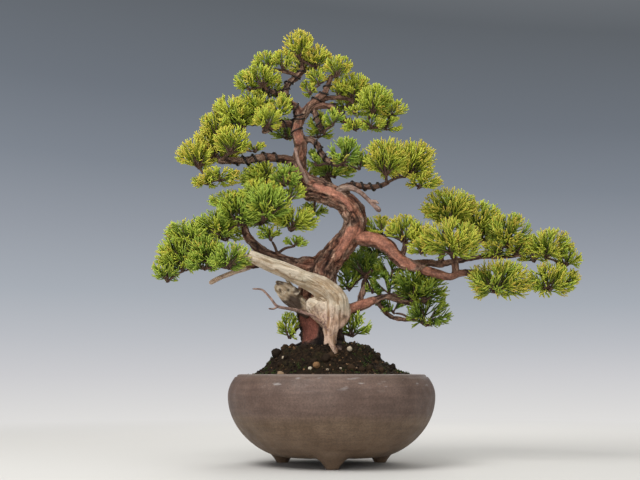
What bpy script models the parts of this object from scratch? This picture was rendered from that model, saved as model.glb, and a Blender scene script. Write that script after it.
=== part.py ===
"""Itoigawa juniper bonsai with bleached deadwood, in a round unglazed pot on three feet.

Lengths in the tables are millimetres about the axis of the pot, with Z = 0 under its feet,
+X to the right, -Y to the front. The finished tree is moved as a whole so that the middle
of its footprint is at the origin.
"""
import math

import bmesh
import bpy
import numpy as np
from mathutils import Matrix, Vector, noise

MM = 0.001
GOLDEN_ANGLE = math.pi * (3 - math.sqrt(5))
CLEARANCE = 0.3
SLIVER = 0.04
TWIG_SLIVER = 0.3
SLIVER_TRIES = (1.0, 0.6, 0.35, 0.2, 0.1, 0.05, 0.02, 0.01)

# Pot
BELLY_RADIUS = 90.0
BELLY_Z = 59.0
RIM_Z = 77.5
RIM_DRAW_IN = 8.0
FOOT_HEIGHT = 8.0
BASE_RADIUS = 46.0
WALL = 5.5
FLOOR_Z = 15.0
DRAIN_RADIUS = 9.5
TURN_STEPS = 28
FOOT_CIRCLE = 50.0
FOOT_ANGLES = (-90, 30, 150)
FOOT_RADII = (6.5, 13.0)
FOOT_SINK = 6.0

# Drainage mesh
MESH_SIDE = 25.0
MESH_HOLE = 5.0
MESH_PITCH = 7.4
MESH_THICK = 0.8

# Soil
SOIL_GAP = 0.4
SOIL_EDGE_Z = 73.0
SOIL_MOUND = [(67, 81), (52, 90), (40, 98), (24, 102)]
SOIL_TOP_Z = 103.0
SOIL_LUMP = 1.6

# Wood: every row is x, y, z, radius
TRUNK = [
    (-7, 4, 72, 17), (-7, 4, 88, 18), (-7, 4, 100, 20), (-8, 5, 114, 17.5), (-12, 6, 130, 17),
    (-14, 8, 146, 16), (-10, 9, 161, 13.5), (-4, 8, 175, 11.5), (6.5, 5, 187, 10.3), (15, 2, 198, 10),
    (20.5, 0, 208, 10), (20.5, -2, 218, 10), (15.5, -3, 226.5, 9.6), (5.5, -3, 232.5, 9.4),
    (-6, -1, 237, 10), (-16, 2, 241, 10.5), (-25, 5, 248, 9.4), (-30, 6, 258, 7.6),
    (-29, 5, 269, 5.9), (-27, 4, 279, 5.4), (-29, 3, 288, 5.2), (-31, 2, 298, 4.8),
    (-28, 0, 308, 4.5), (-31, 0, 315, 3.9), (-39, 1, 321, 3.4), (-41, 2, 331, 3.0),
    (-38, 2, 339, 2.7), (-31, 1, 344, 2.5), (-26, 0, 351, 2.2), (-27, 0, 360, 1.8),
]
BRANCHES = {
    "left_low": [
        (-14, 12, 168, 5), (-28, 14, 172, 4.4), (-42, 12, 175, 4), (-56, 9, 176, 3.4),
        (-69, 5, 174, 3), (-81, 2, 170, 2.6), (-93, 0, 172, 2.2), (-105, 0, 173, 1.9),
    ],
    "left_mid": [
        (-10, 9, 172, 7.5), (-20, 8, 174, 6.5), (-32, 7, 175, 5.2), (-47, 6, 180, 4.5),
        (-60, 4, 185.5, 4.1), (-70, 3, 193.5, 3.8), (-76, 2, 202, 3.4), (-77, 1, 210, 2.6),
    ],
    "left_inner": [(-28, 6, 251, 4), (-37, 10, 253, 3), (-46, 12, 252, 2.2)],
    "left_high": [
        (-29, 5, 266, 4.8), (-39, 4, 268.5, 4), (-50, 2, 269.5, 3.7), (-60, 0, 270, 3.5),
        (-71, 0, 268, 3.3), (-82, 0, 267, 3), (-91, -1, 267, 2.6), (-99, -2, 266, 2.2),
    ],
    "shoulder_left": [
        (-30, 3, 297, 3.7), (-37, 2, 301, 3.2), (-44, 0, 300.5, 3), (-52, -2, 297, 2.5),
        (-60, -3, 293, 2.1),
    ],
    "crown_left": [(-41, 2, 330, 2.6), (-48, 1, 329, 2.2), (-55, 0, 331, 2), (-62, 0, 335, 1.6)],
    "crown_left_top": [(-30, 1, 344, 2), (-37, 1, 348, 1.7), (-45, 0, 350, 1.3)],
    "crown_right": [
        (-27, 0, 307, 4), (-20, -2, 315, 3.9), (-13, -3, 322, 3.4), (-6, -4, 328, 2.6),
        (-3, -4, 335, 2.2), (0, -4, 343, 1.7),
    ],
    "shoulder_right": [
        (-20, -2, 316, 3.4), (-10, -2, 317, 3), (0, -1, 316, 2.7), (7, 0, 311, 2.6),
        (14, 0, 303, 2.5), (24, 0, 301, 2.2), (33, 0, 302, 1.8),
    ],
    "crown_right_back": [(-10, -3, 322, 2.4), (1, 0, 325, 2), (12, 2, 325, 1.7), (20, 3, 323, 1.4)],
    "inner_right": [
        (-25, 3, 288, 3.2), (-18, 2, 286.5, 2.7), (-12, 0, 281.5, 2.6), (-9, -1, 275, 2.4),
        (-5, -2, 269, 2.2), (1, -2, 265, 1.9), (6, -2, 262, 1.6),
    ],
    "inner_top": [(-15, -2, 316, 2.6), (-14, 0, 308, 2.3), (-10, 2, 299, 2), (-6, 3, 292, 1.5)],
    "back_mid": [(-1, 0, 237, 4), (0, 20, 246, 3.4), (-2, 38, 255, 2.6), (-3, 52, 263, 2)],
    "back_high": [(-28, 4, 276, 3), (-25, 20, 286, 2.4), (-19, 34, 296, 1.7)],
    "back_low": [(-1, 8, 177, 5), (4, 26, 182, 3.8), (10, 44, 184, 3), (18, 58, 182, 2.2)],
    "right_high": [
        (2, -2, 236, 3.8), (11, -2, 243, 2.8), (20, -2, 244.5, 2.4), (30, -3, 243, 2.2),
        (41, -4, 243, 2.1), (50, -5, 246, 1.8),
    ],
    "right_main": [
        (16, 0, 200, 7), (28, 0, 197, 6.5), (40, 0, 194.5, 5.9), (50, -2, 189.5, 5.7),
        (56, -4, 182, 5.6), (63, -5, 175.5, 5.3), (72, -6, 172, 4.8), (83, -7, 167.5, 4.2),
        (93, -8, 164.5, 3.7), (103, -9, 162, 3.2), (112, -8, 165, 3), (121, -8, 166, 2.8),
        (132, -8, 165, 2.2),
    ],
    "right_front": [(109, -8, 166, 3), (108, -11, 175, 2.6), (107, -14, 181, 2)],
    "right_back": [
        (68, -4, 174, 3.6), (85, 4, 176, 3), (97, 10, 175, 2.8), (111, 15, 178, 2.6),
        (125, 18, 181, 2.4), (139, 18, 183, 2.2), (152, 14, 182, 2), (164, 8, 182, 1.8),
        (175, 4, 184, 1.5),
    ],
    "right_inner": [(61, -4, 179, 2.8), (65, 0, 188, 2.2), (65, 2, 195, 1.8)],
    "right_top": [(97, 10, 175, 2.4), (100, 14, 186, 2.2), (102, 16, 199, 2), (103, 14, 210, 1.6)],
    "right_rise": [(125, 18, 181, 2.2), (129, 21, 189, 1.8), (133, 22, 196, 1.5)],
    "right_mid": [(146, 16, 183, 2), (151, 13, 187, 1.7), (154, 10, 191, 1.4)],
    "low_right": [
        (-3, 5, 125, 7), (8, 5, 130, 6), (18, 7, 135, 5), (30, 9, 139.5, 4.4), (39, 11, 143, 3.4),
        (50, 12, 146, 2.8), (60, 12, 143, 2.4), (70, 11, 140, 2),
    ],
    "low_right_under": [
        (40, 12, 143, 2.2), (46, 13, 135, 2), (53, 14, 128.5, 1.8), (63, 13, 126, 1.6),
        (72, 12, 126, 1.4),
    ],
    "low_right_up": [(24, 9, 138, 2.8), (28, 14, 151, 2.4), (31, 19, 163, 2), (37, 22, 170, 1.6)],
}
TRUNK_BEVEL = 4
BRANCH_BEVEL = 1
ROOT_COUNT = 5
ROOT_START = 20
ROOT_PATH = [(8, 99, 9), (20, 99, 6.5), (33, 96, 4.6), (46, 85, 3.2), (54, 70, 2.2)]

JINS = {
    "jin_main": [
        [(-74, -26, 178, 4.6), (-58, -22, 174, 5.8), (-40, -18, 167, 6.8), (-27, -15, 160.5, 7.6),
         (-14, -13, 155, 8.8), (-3, -12, 149, 9.6), (3, -11, 143, 9.8), (6, -10, 135, 9),
         (7, -9.5, 127, 7), (6, -9.5, 120, 4)],
        [(-17, -12, 140, 6.5), (-11, -13, 133, 8.8), (-4, -14, 126, 8.6), (0, -14.5, 118, 6.2),
         (0, -16, 109, 4.8), (1, -17, 101, 4.2), (4.5, -19, 92, 2.4)],
    ],
    "jin_peg": [[(-19, -4, 131, 6.6), (-29, -6, 140, 6.8), (-40, -8, 148.5, 6), (-47, -9, 153.5, 4)]],
    "jin_twig": [
        [(-22, -6, 131, 1.8), (-38, -14, 134, 1.4), (-47, -16, 136, 1.2), (-53, -16, 143, 1),
         (-60, -15, 150, 0.9), (-68, -14, 151, 0.7)],
    ],
    "jin_spike": [[(-20, -4, 243, 2.6), (-25, -9, 255, 1.9), (-29, -10, 264, 1.8), (-32, -10, 276, 1.4)]],
    "jin_stub": [
        [(6, -9, 238, 4.4), (13, -11, 239.5, 3.6), (21, -12, 236, 2.7), (29, -13, 229, 2.4),
         (37, -13, 223, 2.6), (42, -13, 220, 2.2)],
    ],
    "jin_stick": [[(-77, 2, 170, 2.2), (-87, -4, 166, 2.1), (-98, -8, 161, 1.9), (-107, -10, 156, 1.7)]],
}
JIN_BEVEL = 2

# Training wires: branch, where the coil starts and ends along it (0 to 1), turns
WIRES = {
    "wire_right_high": ("right_high", 0.36, 0.88, 3.5),
    "wire_left_high": ("left_high", 0.28, 0.80, 4.0),
    "wire_shoulder_right": ("shoulder_right", 0.34, 0.84, 3.0),
}
WIRE_RADIUS = 0.9
WIRE_GAP = 0.45
WIRE_POINTS_A_TURN = 8

# Foliage: for each spray its root on the wood (x, y, z, radius), then its tufts, each the
# middle and the three half-axes of the egg shape that its shoots reach out to
FOLIAGE = {
    "left_skirt": ((-103, 0, 173, 1.5), [
        (-87, -24, 177, 19, 16, 13), (-111, -8, 184, 17, 17, 15), (-135, -4, 181, 19, 18, 19),
        (-131, 14, 200, 13, 13, 11), (-118, 32, 192, 17, 16, 14), (-128, -7, 201, 18, 14, 12),
        (-146, -6, 167, 12, 12, 13), (-112, -14, 174, 15, 12, 9)]),
    "left_pad": ((-77, 1, 209, 1.8), [
        (-81, -12, 220, 19, 17, 16), (-103, 2, 207, 22, 18, 15), (-99, 36, 209, 20, 15, 14),
        (-56, -24, 224, 21, 17, 17), (-62, 28, 224, 20, 16, 15), (-32, -6, 213, 20, 15, 13),
        (-90, -8, 228, 18, 15, 11), (-62, -14, 236, 19, 14, 12), (-36, -12, 237, 14, 10, 10)]),
    "left_drop": ((-48, 6, 184, 1.4), [(-31, -4, 194, 11, 6, 5), (-54, -8, 202, 13, 9, 7)]),
    "left_inner": ((-45, 12, 252, 1.6), [
        (-58, 4, 254, 22, 16, 13), (-64, 38, 258, 20, 15, 13), (-41, -14, 250, 14, 9, 12)]),
    "left_high": ((-98, -2, 266, 1.7), [
        (-87, -20, 281, 16, 16, 13), (-106, 4, 286, 18, 16, 15), (-121, -6, 270, 17, 17, 16),
        (-98, -12, 250, 19, 14, 9), (-100, 36, 283, 18, 15, 14), (-67, -4, 279, 9, 7, 5),
        (-102, -6, 299, 15, 14, 11), (-111, -8, 247, 13, 12, 7)]),
    "shoulder_left": ((-59, -3, 293, 1.8), [
        (-56, -18, 302, 13, 13, 11), (-85, -4, 305, 18, 16, 13), (-68, 4, 319, 17, 16, 13),
        (-74, 34, 318, 18, 14, 13), (-91, -8, 313, 15, 13, 12), (-45, -8, 316, 11, 10, 12)]),
    "crown_left": ((-61, 0, 334, 1.4), [
        (-62, -4, 343, 16, 15, 12), (-56, 26, 340, 14, 13, 11), (-75, -3, 338, 13, 12, 11)]),
    "crown_left_top": ((-44, 0, 350, 1.1), [(-43, -8, 357, 11, 12, 9), (-59, -3, 357, 12, 11, 10)]),
    "apex": ((-27, 0, 359, 1.5), [
        (-30, -4, 372, 14, 15, 14), (-12, 2, 361, 14, 14, 13), (-26, 24, 362, 14, 13, 12)]),
    "crown_right": ((0, -4, 342, 1.5), [(6, -10, 350, 13, 13, 11), (-13, -4, 342, 10, 9, 10)]),
    "crown_right_back": ((19, 3, 323, 1.3), [
        (19, 6, 337, 16, 16, 12), (12, 14, 322, 12, 10, 9), (22, 36, 338, 16, 14, 13),
        (22, -4, 313, 11, 10, 8), (6, 2, 334, 9, 9, 11)]),
    "shoulder_right": ((32, 0, 302, 1.5), [
        (39, -10, 321, 16, 16, 13), (56, 0, 314, 13, 14, 11), (38, -4, 300, 16, 12, 8),
        (44, 30, 323, 16, 14, 12), (51, -4, 299, 13, 11, 7), (20, -6, 297, 12, 10, 7)]),
    "inner_right": ((5, -2, 262, 1.4), [
        (12, -10, 272, 15, 14, 14), (27, -6, 265, 10, 10, 10), (-15, 10, 271, 8, 8, 9)]),
    "inner_top": ((-7, 3, 293, 1.2), [(-11, 8, 304, 8, 9, 11), (3, -5, 306, 9, 8, 9)]),
    "back_mid": ((-3, 51, 262, 1.5), [
        (-1, 34, 266, 17, 12, 9), (6, 60, 272, 18, 15, 12), (-24, 58, 262, 17, 14, 12)]),
    "back_high": ((-19, 33, 295, 1.3), [(-10, 44, 307, 14, 13, 12), (-44, 44, 305, 15, 13, 12)]),
    "back_low": ((17, 57, 182, 1.6), [
        (30, 58, 177, 20, 15, 17), (8, 74, 188, 17, 14, 13), (44, 70, 196, 16, 13, 12)]),
    "right_high": ((49, -5, 246, 1.5), [
        (48, -18, 266, 19, 17, 18), (74, -4, 267, 19, 17, 18), (81, -8, 247, 17, 14, 9),
        (60, 32, 269, 19, 15, 15)]),
    "right_inner": ((65, 2, 194, 1.4), [
        (64, 0, 205, 16, 14, 12), (79, -8, 197, 14, 12, 14), (42, 9, 209, 14, 12, 10),
        (80, -16, 187, 14, 12, 9)]),
    "right_front": ((107, -14, 180, 1.6), [(103, -26, 191, 26, 18, 16)]),
    "right_top": ((103, 14, 209, 1.3), [(106, 6, 226, 25, 17, 17), (112, 40, 225, 18, 15, 13)]),
    "right_rise": ((133, 22, 195, 1.2), [(133, 14, 216, 23, 17, 17), (142, 46, 208, 18, 14, 13)]),
    "right_mid": ((154, 10, 190, 1.1), [
        (158, 4, 203, 21, 18, 17), (146, 6, 187, 17, 13, 9), (168, 6, 189, 14, 12, 9)]),
    "right_low": ((131, -8, 165, 1.6), [(145, -20, 157, 28, 18, 19)]),
    "right_tip": ((174, 4, 184, 1.2), [
        (193, -4, 190, 20, 16, 15), (191, -8, 158, 21, 16, 16), (208, -2, 160, 13, 10, 10),
        (186, 30, 188, 17, 14, 13), (208, -5, 178, 12, 12, 12)]),
    "low_right": ((69, 11, 140, 1.6), [
        (49, 10, 159, 12, 12, 11), (74, 2, 157, 21, 16, 16), (76, 38, 152, 18, 15, 14),
        (52, 14, 173, 14, 11, 10), (86, 2, 152, 17, 15, 15)]),
    "low_right_under": ((71, 12, 126, 1.1), [(86, 4, 131, 20, 16, 16), (53, 16, 139, 13, 11, 8)]),
    "low_right_up": ((36, 22, 169, 1.3), [(28, 28, 175, 18, 13, 14), (14, 21, 160, 12, 10, 13)]),
    "base_left": ((-26, 6, 121, 1.4), [(-38, 3, 118, 10, 9, 14)]),
    "base_right": ((9, 9, 113, 1.4), [(19, 8, 119, 12, 10, 14)]),
    "right_under_sprig": ((-14, 8, 236, 1.4), [(-16, 22, 225, 13, 10, 9)]),
}
DEEP_GREEN = ("low_right", "low_right_under", "low_right_up", "back_low")
SHOOT_AREA = 142.0
SHOOT_RADIUS = 1.1
SHOOT_ROOT_RADIUS = 0.7
RINGS = 3
RING_LENGTH = 2.6
BARE_LENGTH = 1.2
SHOOT_TWIST = 25
SHOOT_SHORTEST = 4.5
LOWEST_SHOOT = -0.35
FIRST_FORK = 0.12
LAST_FORK = 0.55
BASE_DROP = 0.6
NEEDLE = 12.0
NEEDLE_LEAN = (12, 55)
NEEDLE_STUB = 0.4
NEEDLE_TRIES = (1.0, 0.75, 0.5, 0.3)
OWN_MARGIN = 1.0
OTHER_MARGIN = 1.9
WOOD_MARGIN = 1.2
SHOOT_SPACING = 4.0
STEM_END_RADIUS = 0.9
STEM_ARCH = 0.1
STEM_SINK = 0.7
STEM_BENT_FROM = 22.0


def empty_the_scene():
    """Remove what Blender starts with."""
    for item in list(bpy.data.objects):
        bpy.data.objects.remove(item)


def material(name, colour, roughness, metallic=0.0):
    """A Principled material, made once and shared by name."""
    found = bpy.data.materials.get(name)
    if found:
        return found
    made = bpy.data.materials.new(name)
    made.use_nodes = True
    shader = made.node_tree.nodes["Principled BSDF"]
    shader.inputs["Base Color"].default_value = (*colour, 1)
    shader.inputs["Roughness"].default_value = roughness
    shader.inputs["Metallic"].default_value = metallic
    return made


def add_object(name, mesh):
    """An object of this mesh in the open."""
    item = bpy.data.objects.new(name, mesh)
    bpy.context.scene.collection.objects.link(item)
    return item


def evaluated_mesh(item):
    """The object's mesh with its modifiers or its bevel worked out."""
    graph = bpy.context.evaluated_depsgraph_get()
    return bpy.data.meshes.new_from_object(item.evaluated_get(graph))


def settle(item):
    """Apply the object's modifiers."""
    mesh = evaluated_mesh(item)
    item.modifiers.clear()
    item.data = mesh
    return item


def mesh_object(name, bm):
    """Turn a bmesh in millimetres into an object in metres."""
    bmesh.ops.scale(bm, vec=(MM, MM, MM), verts=bm.verts)
    mesh = bpy.data.meshes.new(name)
    bm.to_mesh(mesh)
    bm.free()
    return add_object(name, mesh)


def welded(item):
    """Weld the corners that lie on each other."""
    bm = bmesh.new()
    bm.from_mesh(item.data)
    bmesh.ops.remove_doubles(bm, verts=bm.verts, dist=0.00001)
    bm.to_mesh(item.data)
    bm.free()
    return item


def stretched(rows, swell):
    """The rows with every radius grown by swell and both ends moved out by as much."""
    table = np.array(rows, float)
    first, last = table[0, :3] - table[1, :3], table[-1, :3] - table[-2, :3]
    table[0, :3] += swell * first / np.linalg.norm(first)
    table[-1, :3] += swell * last / np.linalg.norm(last)
    table[:, 3] += swell
    return table.tolist()


def tube(name, rows, bevel, swell=0.0):
    """A closed tube along rows of x, y, z, radius, grown all round by swell."""
    curve = bpy.data.curves.new(name, "CURVE")
    curve.dimensions = "3D"
    curve.bevel_depth = MM
    curve.bevel_resolution = bevel
    curve.use_fill_caps = True
    spline = curve.splines.new("POLY")
    spline.points.add(len(rows) - 1)
    for point, (x, y, z, radius) in zip(spline.points, stretched(rows, swell)):
        point.co = (x * MM, y * MM, z * MM, 1)
        point.radius = radius
    guide = add_object(name + "_guide", curve)
    item = add_object(name, evaluated_mesh(guide))
    bpy.data.objects.remove(guide)
    return welded(item)


def turned(name, outline, steps):
    """A turned solid from its outline of radius and height, given top to bottom outside."""
    mesh = bpy.data.meshes.new(name)
    points = [(radius * MM, 0, z * MM) for radius, z in outline]
    edges = [(i, i + 1) for i in range(len(points) - 1)]
    if outline[0][0] > 0:
        edges.append((len(points) - 1, 0))
    mesh.from_pydata(points, edges, [])
    item = add_object(name, mesh)
    screw = item.modifiers.new("Turn", "SCREW")
    screw.steps = steps
    screw.render_steps = steps
    screw.use_merge_vertices = True
    screw.merge_threshold = 0.00001
    return welded(settle(item))


def joined(name, pieces):
    """One body from overlapping pieces."""
    first, others = pieces[0], pieces[1:]
    first.name = name
    if not others:
        return first
    group = bpy.data.collections.new(name + "_pieces")
    bpy.context.scene.collection.children.link(group)
    for piece in others:
        group.objects.link(piece)
    union = first.modifiers.new("Union", "BOOLEAN")
    union.operation = "UNION"
    union.operand_type = "COLLECTION"
    union.collection = group
    union.solver = "MANIFOLD"
    settle(first)
    for piece in others:
        bpy.data.objects.remove(piece)
    bpy.data.collections.remove(group)
    return first


def cut(item, cutters):
    """Take the cutters' shapes out of the item."""
    for cutter in cutters:
        cutting = item.modifiers.new("Cut", "BOOLEAN")
        cutting.operation = "DIFFERENCE"
        cutting.object = cutter
        cutting.solver = "MANIFOLD"
    return settle(item)


def bodies(bm):
    """The bmesh's separate bodies, each as a set of faces, the largest first."""
    left = set(bm.faces)
    found = []
    while left:
        body = set()
        front = [left.pop()]
        while front:
            face = front.pop()
            body.add(face)
            for edge in face.edges:
                for other in edge.link_faces:
                    if other in left:
                        left.discard(other)
                        front.append(other)
        found.append(body)
    return sorted(found, key=len, reverse=True)


def keep_largest(item):
    """Drop loose scraps that a cut leaves."""
    bm = bmesh.new()
    bm.from_mesh(item.data)
    scraps = [face for body in bodies(bm)[1:] for face in body]
    bmesh.ops.delete(bm, geom=scraps, context="FACES")
    bm.to_mesh(item.data)
    bm.free()
    return item


def close_slivers(item, longest=SLIVER):
    """Collapse edges too short to matter, as long as the piece stays one closed body."""
    for size in (longest * share for share in SLIVER_TRIES):
        bm = bmesh.new()
        bm.from_mesh(item.data)
        bmesh.ops.triangulate(bm, faces=bm.faces)
        bmesh.ops.dissolve_degenerate(bm, edges=bm.edges, dist=size * MM)
        bmesh.ops.triangulate(bm, faces=bm.faces)
        closed = all(len(edge.link_faces) == 2 for edge in bm.edges)
        if closed and len(bodies(bm)) == 1:
            bm.to_mesh(item.data)
            bm.free()
            return item
        bm.free()
    return item


def finish(item, name, look, sharp=35):
    """Name the piece, give it its material and shade it."""
    item.name = name
    item.data.name = name
    item.data.materials.clear()
    item.data.materials.append(look)
    item.data.shade_smooth()
    item.data.set_sharp_from_angle(angle=math.radians(sharp))
    return item


def wall_radius(z, floor_z, floor_radius, belly_radius):
    """The bowl's radius at height z: a soft curve out to the belly, then in to the rim."""
    if z < BELLY_Z:
        drop = (BELLY_Z - z) / (BELLY_Z - floor_z)
        return floor_radius + (belly_radius - floor_radius) * (1 - drop * drop) ** (2 / 3)
    rise = (z - BELLY_Z) / (RIM_Z - BELLY_Z)
    return belly_radius - RIM_DRAW_IN * rise * rise


def bowl_outline(floor_z, floor_radius, belly_radius, top_z, points):
    """The bowl's curve from its top down to the edge of its floor."""
    upper = [top_z, BELLY_Z + (top_z - BELLY_Z) * 0.6]
    lower = []
    for step in range(points):
        turn = math.pi / 2 * (1 - step / (points - 1))
        lower.append(BELLY_Z - math.cos(turn) * (BELLY_Z - floor_z))
    return [(wall_radius(z, floor_z, floor_radius, belly_radius), z) for z in upper + lower]


def build_pot():
    """The bowl with its drain hole, and its three feet."""
    outside = bowl_outline(FOOT_HEIGHT, BASE_RADIUS, BELLY_RADIUS, RIM_Z - 1, 5)
    inside = bowl_outline(FLOOR_Z, BASE_RADIUS - 1, BELLY_RADIUS - WALL, RIM_Z - 1.5, 5)
    lip = [(BELLY_RADIUS - RIM_DRAW_IN - WALL * 0.4, RIM_Z)]
    outline = lip + outside + [(DRAIN_RADIUS, FOOT_HEIGHT), (DRAIN_RADIUS, FLOOR_Z)] + inside[::-1]
    pieces = [turned("pot", outline, TURN_STEPS)]
    depth = FOOT_HEIGHT + FOOT_SINK
    for angle in FOOT_ANGLES:
        turn = math.radians(angle)
        bm = bmesh.new()
        middle = Vector((FOOT_CIRCLE * math.cos(turn), FOOT_CIRCLE * math.sin(turn), depth / 2))
        bmesh.ops.create_cone(
            bm, cap_ends=True, segments=12, radius1=FOOT_RADII[0], radius2=FOOT_RADII[1],
            depth=depth, matrix=Matrix.Translation(middle))
        pieces.append(mesh_object("foot", bm))
    pot = joined("pot", pieces)
    return finish(pot, "pot", material("stoneware", (0.115, 0.085, 0.072), 0.62))


def build_drainage_mesh():
    """A thin plate with square holes, over the drain hole."""
    bm = bmesh.new()
    z = FLOOR_Z + CLEARANCE + MESH_THICK / 2
    size = Matrix.Diagonal((MESH_SIDE, MESH_SIDE, MESH_THICK, 1))
    bmesh.ops.create_cube(bm, size=1, matrix=Matrix.Translation((0, 0, z)) @ size)
    plate = mesh_object("drainage_mesh", bm)
    holes = []
    for column in (-1, 0, 1):
        for row in (-1, 0, 1):
            bm = bmesh.new()
            size = Matrix.Diagonal((MESH_HOLE, MESH_HOLE, 4, 1))
            place = Matrix.Translation((column * MESH_PITCH, row * MESH_PITCH, z))
            bmesh.ops.create_cube(bm, size=1, matrix=place @ size)
            holes.append(mesh_object("hole", bm))
    cut(plate, holes)
    for hole in holes:
        bpy.data.objects.remove(hole)
    return finish(plate, "drainage_mesh", material("black_plastic", (0.02, 0.02, 0.02), 0.5))


def build_soil(wood_cutters):
    """The soil fills the pot and rises to a mound; its bottom is recessed over the mesh."""
    inside = [
        (radius - SOIL_GAP, z)
        for radius, z in bowl_outline(FLOOR_Z, BASE_RADIUS - 1, BELLY_RADIUS - WALL, SOIL_EDGE_Z, 3)]
    inside[-1] = (BASE_RADIUS - 2, FLOOR_Z + SOIL_GAP)
    recess = MESH_SIDE * 0.75
    recess_z = FLOOR_Z + CLEARANCE + MESH_THICK + CLEARANCE
    outline = [(0, SOIL_TOP_Z)] + SOIL_MOUND[::-1] + inside
    outline += [(recess, FLOOR_Z + SOIL_GAP), (recess, recess_z), (0, recess_z)]
    soil = turned("soil", outline, TURN_STEPS)
    for vert in soil.data.vertices:
        place = vert.co / MM
        across = math.hypot(place.x, place.y)
        if place.z > SOIL_EDGE_Z + 3:
            lump = noise.noise(Vector((place.x / 13, place.y / 13, 0.5)))
            vert.co.z += SOIL_LUMP * 2 * lump * MM
            vert.co.x *= 1 + 0.02 * lump * (across / BELLY_RADIUS)
    cut(soil, wood_cutters)
    close_slivers(keep_largest(soil))
    return finish(soil, "soil", material("soil", (0.035, 0.026, 0.018), 0.95))


def root_rows(index):
    """One surface root: out from the trunk's foot and down into the soil."""
    turn = math.radians(ROOT_START + 360 / ROOT_COUNT * index)
    sway = math.radians(9) * (-1) ** index
    rows = []
    for reach, z, radius in ROOT_PATH:
        bend = turn + sway * reach / ROOT_PATH[-1][0]
        x = TRUNK[2][0] + reach * math.cos(bend)
        y = TRUNK[2][1] + reach * math.sin(bend)
        rows.append((x, y, z, radius))
    return rows


def build_trunk(name, swell=0.0):
    """Trunk, roots and branches in one body."""
    pieces = [tube(name, TRUNK, TRUNK_BEVEL, swell)]
    for branch, rows in BRANCHES.items():
        pieces.append(tube(branch, rows, BRANCH_BEVEL, swell))
    for index in range(ROOT_COUNT):
        pieces.append(tube("root", root_rows(index), BRANCH_BEVEL, swell))
    trunk = joined(name, pieces)
    return finish(trunk, name, material("bark", (0.24, 0.15, 0.11), 0.9), 50)


def build_jin(name, swell=0.0):
    """One length of bleached deadwood."""
    jin = joined(name, [tube(name, rows, JIN_BEVEL, swell) for rows in JINS[name]])
    return finish(jin, name, material("deadwood", (0.68, 0.60, 0.50), 0.8), 50)


def along(rows, share):
    """The place and radius at a share of the way along rows of x, y, z, radius."""
    table = np.array(rows, float)
    steps = np.linalg.norm(np.diff(table[:, :3], axis=0), axis=1)
    reach = np.concatenate([[0], np.cumsum(steps)])
    return np.array([np.interp(share * reach[-1], reach, table[:, i]) for i in range(4)])


def coil_rows(branch, start, end, turns):
    """The helix of a wire round a branch, clear of its bark."""
    rows = TRUNK if branch == "trunk" else BRANCHES[branch]
    count = round(turns * WIRE_POINTS_A_TURN)
    side = None
    helix = []
    for step in range(count + 1):
        share = start + (end - start) * step / count
        here = along(rows, share)
        ahead = along(rows, min(share + 0.02, 1)) - along(rows, max(share - 0.02, 0))
        tangent = Vector(ahead[:3]).normalized()
        if side is None:
            side = tangent.orthogonal().normalized()
        side = (side - tangent * side.dot(tangent)).normalized()
        turn = math.tau * turns * step / count
        out = side * math.cos(turn) + tangent.cross(side) * math.sin(turn)
        place = Vector(here[:3]) + out * (here[3] + WIRE_RADIUS + WIRE_GAP)
        helix.append((*place, WIRE_RADIUS))
    return helix


def build_wire(name):
    """One coil of training wire."""
    wire = tube(name, coil_rows(*WIRES[name]), 0)
    return finish(wire, name, material("wire", (0.05, 0.035, 0.03), 0.45, 0.6), 60)


class Rods:
    """Straight round pieces, for measuring how far points lie from them."""

    def __init__(self):
        self.starts = []
        self.ends = []
        self.radii = []
        self.owners = []

    def add(self, start, end, radii, owner):
        self.starts.append(tuple(start))
        self.ends.append(tuple(end))
        self.radii.append(radii)
        self.owners.append(owner)

    def add_rows(self, rows, owner):
        for first, second in zip(rows, rows[1:]):
            self.add(first[:3], second[:3], (first[3], second[3]), owner)

    def gaps(self, points):
        """Distance from every point to every rod's surface."""
        starts, ends = np.array(self.starts), np.array(self.ends)
        radii = np.array(self.radii)
        run = ends - starts
        offset = np.array(points)[:, None] - starts
        share = np.clip((offset * run).sum(2) / (run * run).sum(1), 0, 1)
        near = starts + share[..., None] * run
        reach = radii[:, 0] + share * (radii[:, 1] - radii[:, 0])
        return np.linalg.norm(np.array(points)[:, None] - near, axis=2) - reach


def wood_rods():
    """Everything hard that the foliage grows clear of."""
    rods = Rods()
    rods.add_rows(TRUNK, "trunk")
    for rows in BRANCHES.values():
        rods.add_rows(rows, "trunk")
    for name, tubes in JINS.items():
        for rows in tubes:
            rods.add_rows(rows, name)
    for name, wire in WIRES.items():
        rods.add_rows(coil_rows(*wire), name)
    return rods


def tuft_base(tuft, root):
    """Where a tuft's shoots start: low in the tuft, on the side of the spray's root."""
    middle = Vector(tuft[:3])
    base = middle - Vector((0, 0, BASE_DROP * tuft[5]))
    towards = Vector(root[:3]) - base
    return base + towards.normalized() * min(towards.length * 0.3, 0.25 * tuft[3])


def stems_of(root, bases):
    """Stems that join the bases to the root, each from the nearest place already joined."""
    reached = [(Vector(root[:3]), root[3])]
    waiting = list(bases)
    stems = []
    while waiting:
        gap, start, base = min(
            ((place - base).length, (place, radius), base)
            for place, radius in reached for base in waiting)
        waiting.remove(base)
        place, radius = start
        middle = (place + base) / 2 + Vector((0, 0, STEM_ARCH * gap))
        thin = max(STEM_END_RADIUS, radius * 0.75)
        sunk = place - (base - place).normalized() * STEM_SINK * (1 + 0.3 * len(stems))
        rows = [(*sunk, radius), (*middle, (radius + thin) / 2), (*base, thin)]
        if gap < STEM_BENT_FROM:
            del rows[1]
        stems.append(rows)
        reached.append((base, thin))
    return stems


def needle_length(tuft):
    """Needles are shorter on the small tufts."""
    return min(NEEDLE, 0.65 * tuft[5] + 2)


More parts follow.
